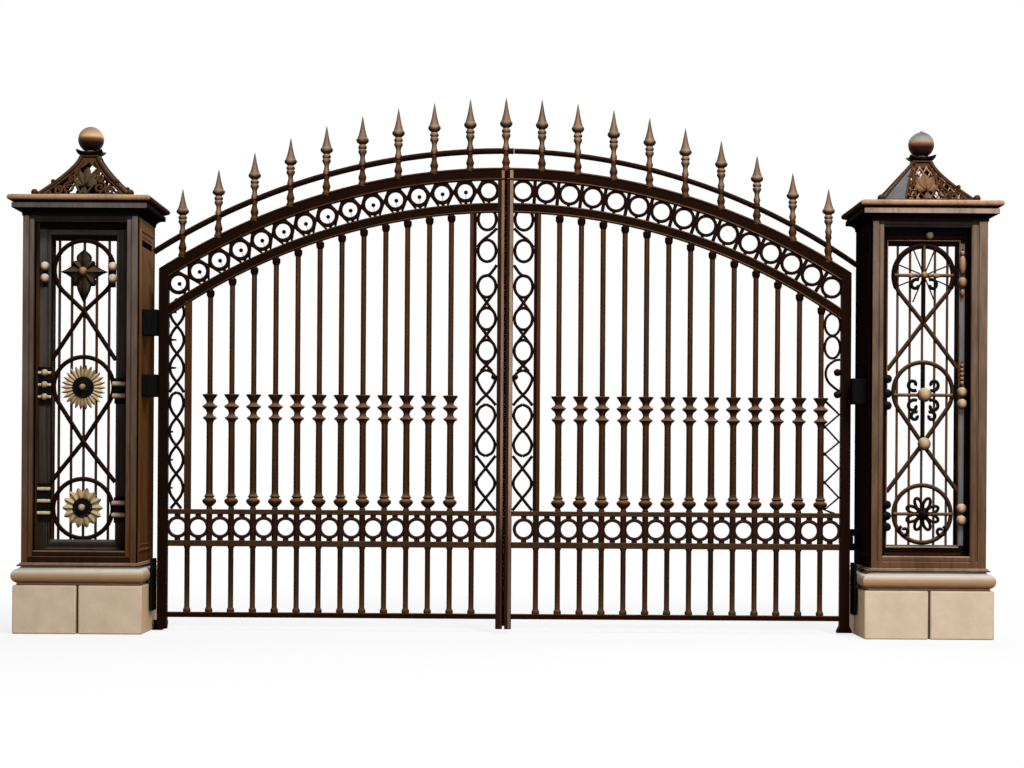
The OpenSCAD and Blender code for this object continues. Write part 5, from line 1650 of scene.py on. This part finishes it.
# %% Pickets
BAR_COUNT = 14
FIRST_BAR = 0.163
LAST_BAR = 1.601
BAR_XS = [FIRST_BAR + (LAST_BAR - FIRST_BAR) * i / (BAR_COUNT - 1) for i in range(BAR_COUNT)]
RAIL_TOP = 0.615
PICKET = [
    (0.015, 0.0), (0.016, 0.005), (0.013, 0.010), (0.013, 0.014), (0.022, 0.022), (0.032, 0.032),
    (0.036, 0.041), (0.034, 0.049), (0.024, 0.056), (0.020, 0.059), (0.026, 0.063), (0.027, 0.067),
    (0.022, 0.072), (0.018, 0.080), (0.0172, 0.100), (0.0162, 0.430), (0.018, 0.440), (0.022, 0.449),
    (0.032, 0.457), (0.0365, 0.462), (0.032, 0.467), (0.020, 0.474), (0.0155, 0.484), (0.0155, 0.490),
    (0.021, 0.503), (0.034, 0.514), (0.0395, 0.520), (0.034, 0.526), (0.022, 0.533), (0.017, 0.540),
    (0.019, 0.549), (0.027, 0.561), (0.036, 0.574), (0.0390, 0.581), (0.034, 0.583), (0.020, 0.576),
    (0.0145, 0.578), (0.0135, 0.600)]
picket_turned = Shape().turned(ORIGIN, PICKET, 20)
SHAFT_FOOT = RAIL_TOP + 0.595
shaft_turned = Shape().turned(ORIGIN, [(0.0135, 0.0), (0.0135, 1.0)], 20)
collar_turned = Shape().turned(ORIGIN, [
    (0.0135, -0.024), (0.0165, -0.019), (0.0205, -0.010), (0.0205, 0.010), (0.0135, 0.014)], 16)
for side, name in SIDES:
    xs = BAR_XS[1:-1] if side == LEFT else BAR_XS[1:]
    feet = [(side * x, 0.0, RAIL_TOP) for x in xs]
    heads = [(side * x, 0.0, SHAFT_FOOT) for x in xs]
    lengths = [(1.0, 1.0, arch_at(LOW_RAIL[0], x) + 0.012 - SHAFT_FOOT) for x in xs]
    necks = [(side * x, 0.0, arch_at(LOW_RAIL[0], x) - 0.016) for x in xs]
    parts = (row_of(picket_turned, feet, bronze), row_of(shaft_turned, heads, bronze, lengths),
             row_of(collar_turned, necks, deep_iron))
    leaf_piece(name, "_turned_pickets", parts, "bronze_iron", "_pickets", 50.0)

# %% [markdown]
# Spears stand on a bent bar above the arch and grow shorter towards the hinges. One head
# and one foot are drawn for all of them, and the stretch of each fits the foot between
# the bar and the rail. The short bars at the foot of the leaf are one pattern as well.

# %% Spears
SPEAR_R = 3.289
SPEAR_PITCH = 0.18154
SPEAR_XS = [SPEAR_PITCH * (i + 1) for i in range(9)]
SPEAR_HEAD = [
    (0.013, -0.004), (0.018, 0.016), (0.016, 0.025), (0.0125, 0.037), (0.012, 0.050), (0.015, 0.061),
    (0.021, 0.071), (0.022, 0.078), (0.021, 0.084), (0.0175, 0.090), (0.022, 0.096), (0.0225, 0.102),
    (0.020, 0.108), (0.016, 0.113), (0.018, 0.118), (0.026, 0.123), (0.0305, 0.130), (0.0325, 0.137),
    (0.030, 0.145), (0.025, 0.151), (0.024, 0.155), (0.020, 0.167), (0.0155, 0.185), (0.0105, 0.210),
    (0.005, 0.245), (0.001, 0.266)]
SPEAR_FOOT = [
    (0.022, -0.100), (0.022, -0.086), (0.018, -0.080), (0.016, -0.072), (0.020, -0.062), (0.021, -0.056),
    (0.017, -0.044), (0.0125, -0.028), (0.0125, -0.020), (0.017, -0.012), (0.013, 0.004)]
SPEAR_FULL = 0.266
SPEAR_BAR = {LEFT: 0.0152, RIGHT: 0.0136}
SPEAR_SAG = {LEFT: 0.0, RIGHT: 0.014}
SPEAR_RAIL_START = {LEFT: -0.0395, RIGHT: 0.0414}
SPEAR_RAIL_END = 1.778
FOOT_GAP = 0.086
head_turned = Shape().turned(ORIGIN, SPEAR_HEAD, 20)
foot_turned = Shape().turned(ORIGIN, SPEAR_FOOT, 18)
for side, name in SIDES:
    xs = ([0.0] if side == LEFT else []) + SPEAR_XS
    # the last spear on the right stands a little higher on the rail
    lift = [0.022 if (side, x) == (RIGHT, SPEAR_XS[-1]) else 0.0 for x in xs]
    heights = [arch_at(SPEAR_R, x) + up for x, up in zip(xs, lift)]
    places = [(side * x, 0.0, z) for x, z in zip(xs, heights)]
    reach = [(1.0, 1.0, (0.270 - 0.024 * x) / SPEAR_FULL) for x in xs]
    drop = [(1.0, 1.0, (z - arch_at(TOP_RAIL[1], x)) / FOOT_GAP) for x, z in zip(xs, heights)]
    parts = (row_of(head_turned, places, spear_bronze, reach), row_of(foot_turned, places, bronze, drop))
    leaf_piece(name, "_turned_spears", parts, "bronze_iron", "_spears", 50.0)
    start = SPEAR_RAIL_START[side]
    rail = []
    for i in range(73):
        x = start + (SPEAR_RAIL_END - start) * i / 72
        rail.append((side * x, 0.0, arch_at(SPEAR_R, x) - SPEAR_SAG[side] * x * x))
    parts = [bent_bars([(rail, False)], SPEAR_BAR[side], deep_iron, 14)]
    leaf_piece(name, "_spear_bar", parts, "dark_iron", "_spear_rail", 50.0)

# %% Lower bars
BOTTOM_RAIL_TOP = 0.095
lower_turned = Shape().turned(ORIGIN, [
    (0.019, 0.0), (0.0195, 0.014), (0.016, 0.020), (0.0135, 0.026), (0.0135, 0.322), (0.017, 0.327),
    (0.017, 0.335)], 18)
for side, name in SIDES:
    feet = [(side * x, 0.0, BOTTOM_RAIL_TOP) for x in BAR_XS]
    parts = [row_of(lower_turned, feet, bronze)]
    leaf_piece(name, "_turned_lower_bars", parts, "bronze_iron", "_lower_bars", 50.0)

# %% [markdown]
# A band of rings runs between the two upper cross rails. The pickets go on through it
# as posts, and a short stem ties each ring to the rails above and below. An even array
# would miss the end gaps, which differ, so a ring is set in the middle of each gap.

# %% Ring bands
BAND_TOP = 0.590
BAND_FOOT = 0.458
BAND_MID = (BAND_TOP + BAND_FOOT) / 2
edges = [MEET_X] + BAR_XS + [HINGE_X]
post_turned = Shape().turned(ORIGIN, [(0.0155, -0.067), (0.0155, 0.067)], 16)
stem_block = Shape().block((-0.014, -0.0075, -0.0085), (0.014, 0.0075, 0.0085))
for side, name in SIDES:
    centres = [(side * (a + b) / 2, 0.0, BAND_MID) for a, b in zip(edges, edges[1:])]
    stems = []
    for x, y, z in centres:
        stems += [(x, y, BAND_TOP - 0.0055), (x, y, BAND_FOOT + 0.0055)]
    posts = [(side * x, 0.0, BAND_MID) for x in BAR_XS]
    parts = (ring_row(centres, 0.0475, 0.0175, 0.019, stile_dark), row_of(stem_block, stems, stile_dark),
             row_of(post_turned, posts, stile_dark))
    leaf_piece(name, "_band_rings", parts, "dark_iron", "_ring_band", 40.0)

# %% [markdown]
# Narrow scroll panels stand beside the stiles. Beside the meeting stiles a chain of
# rings runs down into crossed bars; beside the hinge stiles the left leaf has two
# interlaced waves with short spikes, and the right one rings, a curl with knobs and a
# zigzag. Each is drawn as lines, across and up, and bent from round bar, so that one
# drawing serves panels of different widths.

# %% Scroll panels
PANEL_BAR = 0.0080
SLIM_BAR = {LEFT: 0.0078, RIGHT: 0.0068}


def smooth_path(corners, count=8):
    """A soft curve through a list of points, by the Catmull-Rom rule."""
    points = [corners[0]] + list(corners) + [corners[-1]]
    path = []
    for a, b, c, d in zip(points, points[1:], points[2:], points[3:]):
        for i in range(count):
            t = i / count
            spot = []
            for p, q, r, s in zip(a, b, c, d):
                spot.append(0.5 * (2 * q + (r - p) * t + (2 * p - 5 * q + 4 * r - s) * t * t
                                   + (3 * q - p - 3 * r + s) * t ** 3))
            path.append(tuple(spot))
    path.append(tuple(corners[-1]))
    return path


def oval(z, across, up):
    """A closed ring of a panel, with its middle at height z."""
    angles = [2 * math.pi * i / 32 for i in range(32)]
    return [(across * math.cos(a), z + up * math.sin(a)) for a in angles], True


def half_wave(way, top, foot):
    """One swing of a wave between two crossings; way is the side that it swings to."""
    return [(0.0, top), (way * 0.72, top * 0.75 + foot * 0.25), (way * 0.98, (top + foot) / 2),
            (way * 0.72, top * 0.25 + foot * 0.75)]


MEETING_RINGS = (2.092, 1.932, 1.752, 1.588, 1.426)


def meeting_lines():
    """Lines of the panel beside the meeting stile: across is 1 at the meeting stile."""
    lines = [oval(z, 0.96, 0.055) for z in MEETING_RINGS]
    lines.append((smooth_path([(1.05, 2.046), (0.30, 2.012), (-0.45, 1.985), (-1.05, 1.950)]), False))
    lines.append((smooth_path([(1.05, 1.860), (0.35, 1.815), (-0.35, 1.802)]), False))
    for high, low in ((1.710, 1.630), (1.546, 1.468), (1.384, 1.322)):
        for s in (-1, 1):
            lines.append(([(-s * 0.62, high), (0.0, (high + low) / 2), (s * 0.62, low)], False))
    for s in (-1, 1):
        arch = [(s * 1.05, 1.150), (s * 0.55, 1.178), (0.0, 1.203), (-s * 0.60, 1.238),
                (-s * 0.98, 1.285), (-s * 0.55, 1.318), (0.0, 1.328)]
        lines.append((smooth_path(arch), False))
        loop = [(0.0, 1.155), (s * 0.70, 1.135), (s * 0.96, 1.095), (s * 0.55, 1.052), (0.0, 1.024),
                (-s * 0.55, 0.996), (-s * 0.96, 0.955), (-s * 0.70, 0.912), (0.0, 0.893)]
        lines.append((smooth_path(loop), False))
        leg = [(s * 1.05, 0.895), (0.0, 0.831), (-s * 0.80, 0.782), (-s * 0.96, 0.755),
               (-s * 0.80, 0.728), (0.0, 0.680), (s * 1.05, 0.618)]
        lines.append((smooth_path(leg), False))
    return lines


def left_hinge_lines():
    """Two interlaced waves: across is 1 at the hinge stile."""
    crossings = (1.680, 1.541, 1.401, 1.257)
    lower = (1.077, 0.935, 0.793, 0.651)
    lines = []
    for s in (-1, 1):
        wave = []
        for k, (top, foot) in enumerate(zip(crossings, crossings[1:])):
            wave += half_wave(s if k % 2 else -s, top, foot)
        wave += [(0.0, crossings[-1]), (s * 0.62, 1.228), (s * 1.05, 1.205)]
        lines.append((smooth_path(wave, 6), False))
        wave = [(0.0, 1.205), (-s * 0.70, 1.190), (-s * 0.98, 1.150), (-s * 0.66, 1.110)]
        for k, (top, foot) in enumerate(zip(lower, lower[1:])):
            wave += half_wave(-s if k % 2 else s, top, foot)
        wave += [(0.0, lower[-1]), (-s * 0.75, 0.618)]
        lines.append((smooth_path(wave, 6), False))
    return lines


def right_hinge_lines():
    """Two rings, an open curl and a zigzag: across is 1 at the hinge stile."""
    lines = [oval(z, 1.06, 0.056) for z in (1.5694, 1.4545)]
    curl = [(1.05, 1.392), (0.30, 1.386), (-0.62, 1.358), (-0.90, 1.318), (-0.55, 1.280), (0.30, 1.250),
            (1.05, 1.232)]
    lines.append((smooth_path(curl), False))
    corners = [(-0.95, 1.182)]
    heights = (1.114, 1.052, 0.975, 0.914, 0.842, 0.770, 0.694, 0.632)
    for k, z in enumerate(heights):
        corners.append((1.0 if k % 2 == 0 else -0.95, z))
    corners.append((0.45, 0.612))
    lines.append((corners, False))
    return lines


def on_panel(lines, side, mid, half):
    """Sets lines of across and up into a panel round its middle."""
    return [([(side * (mid + u * half), 0.0, z) for u, z in line], closed) for line, closed in lines]


PANEL_EDGE = {LEFT: 1.618, RIGHT: 1.6155}
INNER_EDGE = 0.146
MEETING_HALF = 0.053
KNOT = [(0.004, -0.010), (0.010, -0.006), (0.010, 0.006), (0.004, 0.010)]
for side, name in SIDES:
    mid = (MEET_X + INNER_EDGE) / 2
    half = MEETING_HALF - PANEL_BAR * 0.7
    edge = PANEL_EDGE[side]
    mid_hinge = (edge + HINGE_X) / 2
    half_hinge = (HINGE_X - edge) / 2 - PANEL_BAR * 0.7
    hinge_lines = left_hinge_lines() if side == LEFT else right_hinge_lines()
    paths = on_panel(meeting_lines(), side, mid, -half)
    slim = on_panel(hinge_lines, side, mid_hinge, half_hinge)
    knots = Shape()
    for z in MEETING_RINGS[1:]:
        knots.turned((side * 0.143, 0.0, z), KNOT, 10, 0, "X")
    knots.ball((side * 0.054, 0.0, 1.294), 0.015, 14)
    if side == LEFT:
        for z in (1.610, 1.471, 1.329, 1.006, 0.864, 0.722):
            long = 0.040 if z > 1.2 else 0.026
            spike = [(0.006, 0.0), (0.0075, 0.010), (0.0045, long - 0.006), (0.0055, long)]
            knots.turned((side * (HINGE_X + 0.002), 0.0, z), spike, 10, 0, "X")
    else:
        for z in (1.327, 1.215):
            knots.ball((side * (HINGE_X - 0.016), 0.0, z), 0.019, 16)
        for z in (1.052, 0.914, 0.770):
            knots.ball((side * (edge + 0.004), 0.0, z), 0.010, 12)
    parts = (bent_bars(paths, PANEL_BAR, deep_iron), bent_bars(slim, SLIM_BAR[side], deep_iron),
             painted(knots, deep_iron))
    leaf_piece(name, "_bent_panels", parts, "dark_iron", "_scroll_panels", 50.0)


# %% [markdown]
# Stiles are square tube with a raised strip down each face, which takes the bronze; on the
# meeting stiles the strip lies on the lit half of the tube and is bright as a painted
# highlight. The meeting stiles run up into the arch. A black strip behind each closes the gap
# between the leaves: it lies level with the hinge line, where it can't foul the other leaf.

# %% Stiles
def stile(shape, x0, x1, half_depth, z0, z1):
    """An upright square tube with eased edges and a raised strip on its front and back."""
    mid = (x0 + x1) / 2
    half = (x1 - x0) / 2
    flat = half_depth - 0.0025
    ease = 0.003
    strip = 0.3
    run = [(-half, 0.0), (-half, -flat + ease), (-half + ease, -flat), (-half * strip - 0.001, -flat),
           (-half * strip, -half_depth), (half * strip, -half_depth), (half * strip + 0.001, -flat),
           (half - ease, -flat), (half, -flat + ease), (half, 0.0)]
    run += [(x, -y) for x, y in reversed(run[1:-1])]
    rings = []
    for z in (z0, z1):
        rings.append([(mid + x, y, z) for x, y in run])
    return shape.loops(rings)


def sided_block(shape, side, xs, ys, zs, finish=0):
    """A block given by its reach in x from the meeting line, in y and in z."""
    x0, x1 = sorted((side * xs[0], side * xs[1]))
    return shape.block((x0, ys[0], zs[0]), (x1, ys[1], zs[1]), finish)


STRIP = {LEFT: (0.006, 0.021), RIGHT: (0.021, 0.038)}
STILE_RUN = (0.018, 2.346)
SEAL_RUN = (0.030, 2.344)
for side, name in SIDES:
    upright = Shape()
    sided_block(upright, side, (0.005, 0.040), (-0.0150, 0.0150), STILE_RUN)
    for depth in ((-0.0175, -0.0140), (0.0140, 0.0175)):
        sided_block(upright, side, STRIP[side], depth, STILE_RUN, 1)
    piece(name + "_meeting_tube", upright, [stile_dark, strip_bronze_highlight[side]], name + "_leaf",
          "bronze_iron", (name + "_meeting_stile",), 0.0015)
    seal = Shape()
    sided_block(seal, side, (0.0075, 0.012), (0.0140, 0.060), SEAL_RUN)
    sided_block(seal, side, (0.00002, 0.0110), (0.053, 0.060), SEAL_RUN)
    piece(name + "_meeting_strip", seal, [black_iron], name + "_leaf", "black_iron")
    inner = Shape()
    for x in (FIRST_BAR, LAST_BAR) if side == LEFT else (FIRST_BAR,):
        head = arch_at(LOW_RAIL[0], x) + 0.010
        stile(inner, side * x - 0.017, side * x + 0.017, 0.017, RAIL_TOP - 0.002, head)
    # the half towards the meeting of the leaves is painted black, as painted shade
    sided_block(inner, side, (FIRST_BAR - 0.0172, FIRST_BAR - 0.001), (-0.0174, 0.0174),
                (RAIL_TOP, arch_at(LOW_RAIL[0], FIRST_BAR) + 0.008), 1)
    piece(name + "_inner_tubes", inner, [bronze, deep_iron], name + "_leaf", "bronze_iron",
          (name + "_inner_stiles",))

# %% [markdown]
# Hinge stiles, cross rails and hinges have the right shape in the solid model. Its
# meshes are never changed, so a copy of each gets eased edges and its finish, and
# stands for the solid.

# %% Plain bars keep their solids
PLAIN = (("hinge_stile", deep_iron, "dark_iron"), ("cross_rails", rail_bronze, "dark_iron"),
         ("hinge_knuckles", black_iron, "black_iron"), ("hinge_brackets", black_iron, "black_iron"))
for side, name in SIDES:
    for part, finish, slot in PLAIN:
        node = name + "_" + part
        body = "pillars" if part == "hinge_brackets" else name + "_leaf"
        piece(name + "_eased_" + part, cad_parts[node].data.copy(), [finish], body, slot, (node,),
              0.0025)

# %% [markdown]
# Black housings on the inner walls of the pillars cover hinges from the front, two on
# the left and one on the right. Each is a box with a lid, a small plate and four screws,
# and stands clear in front of the leaf. The screws are one shape, set by the row tree.

# %% Hinge housings
HOUSING_X = (1.738, 1.816)
LID_Y = -0.154
screw = boss(Shape(), ORIGIN, [(0.005, 0.0), (0.005, 0.002), (0.003, 0.003), (0.0, 0.0032)], 10)
for name, side, z, tall in (("left", LEFT, 1.550, 0.130), ("left_low", LEFT, 1.234, 0.112),
                            ("right", RIGHT, 1.228, 0.130)):
    x0, x1 = sorted(side * x for x in HOUSING_X)
    mid_x = (x0 + x1) / 2
    z0 = z - tall / 2
    z1 = z + tall / 2
    housing = Shape().block((x0, -0.150, z0), (x1, -0.075, z1))
    lid = Shape().block((x0 + 0.006, LID_Y, z0 + 0.006), (x1 - 0.006, -0.149, z1 - 0.006))
    plate = Shape().block((mid_x - 0.011, -0.157, z - 0.032), (mid_x + 0.011, -0.153, z + 0.032))
    spots = []
    for a in (-1, 1):
        for b in (-1, 1):
            spots.append((mid_x + a * 0.026, LID_Y, z + b * (tall / 2 - 0.016)))
    built(name + "_hinge_housing", (
        painted(housing, black_iron), painted(lid, black_iron), row_of(screw, spots, black_iron),
        painted(plate, black_iron)), "pillars", "black_iron", bevel=0.002)
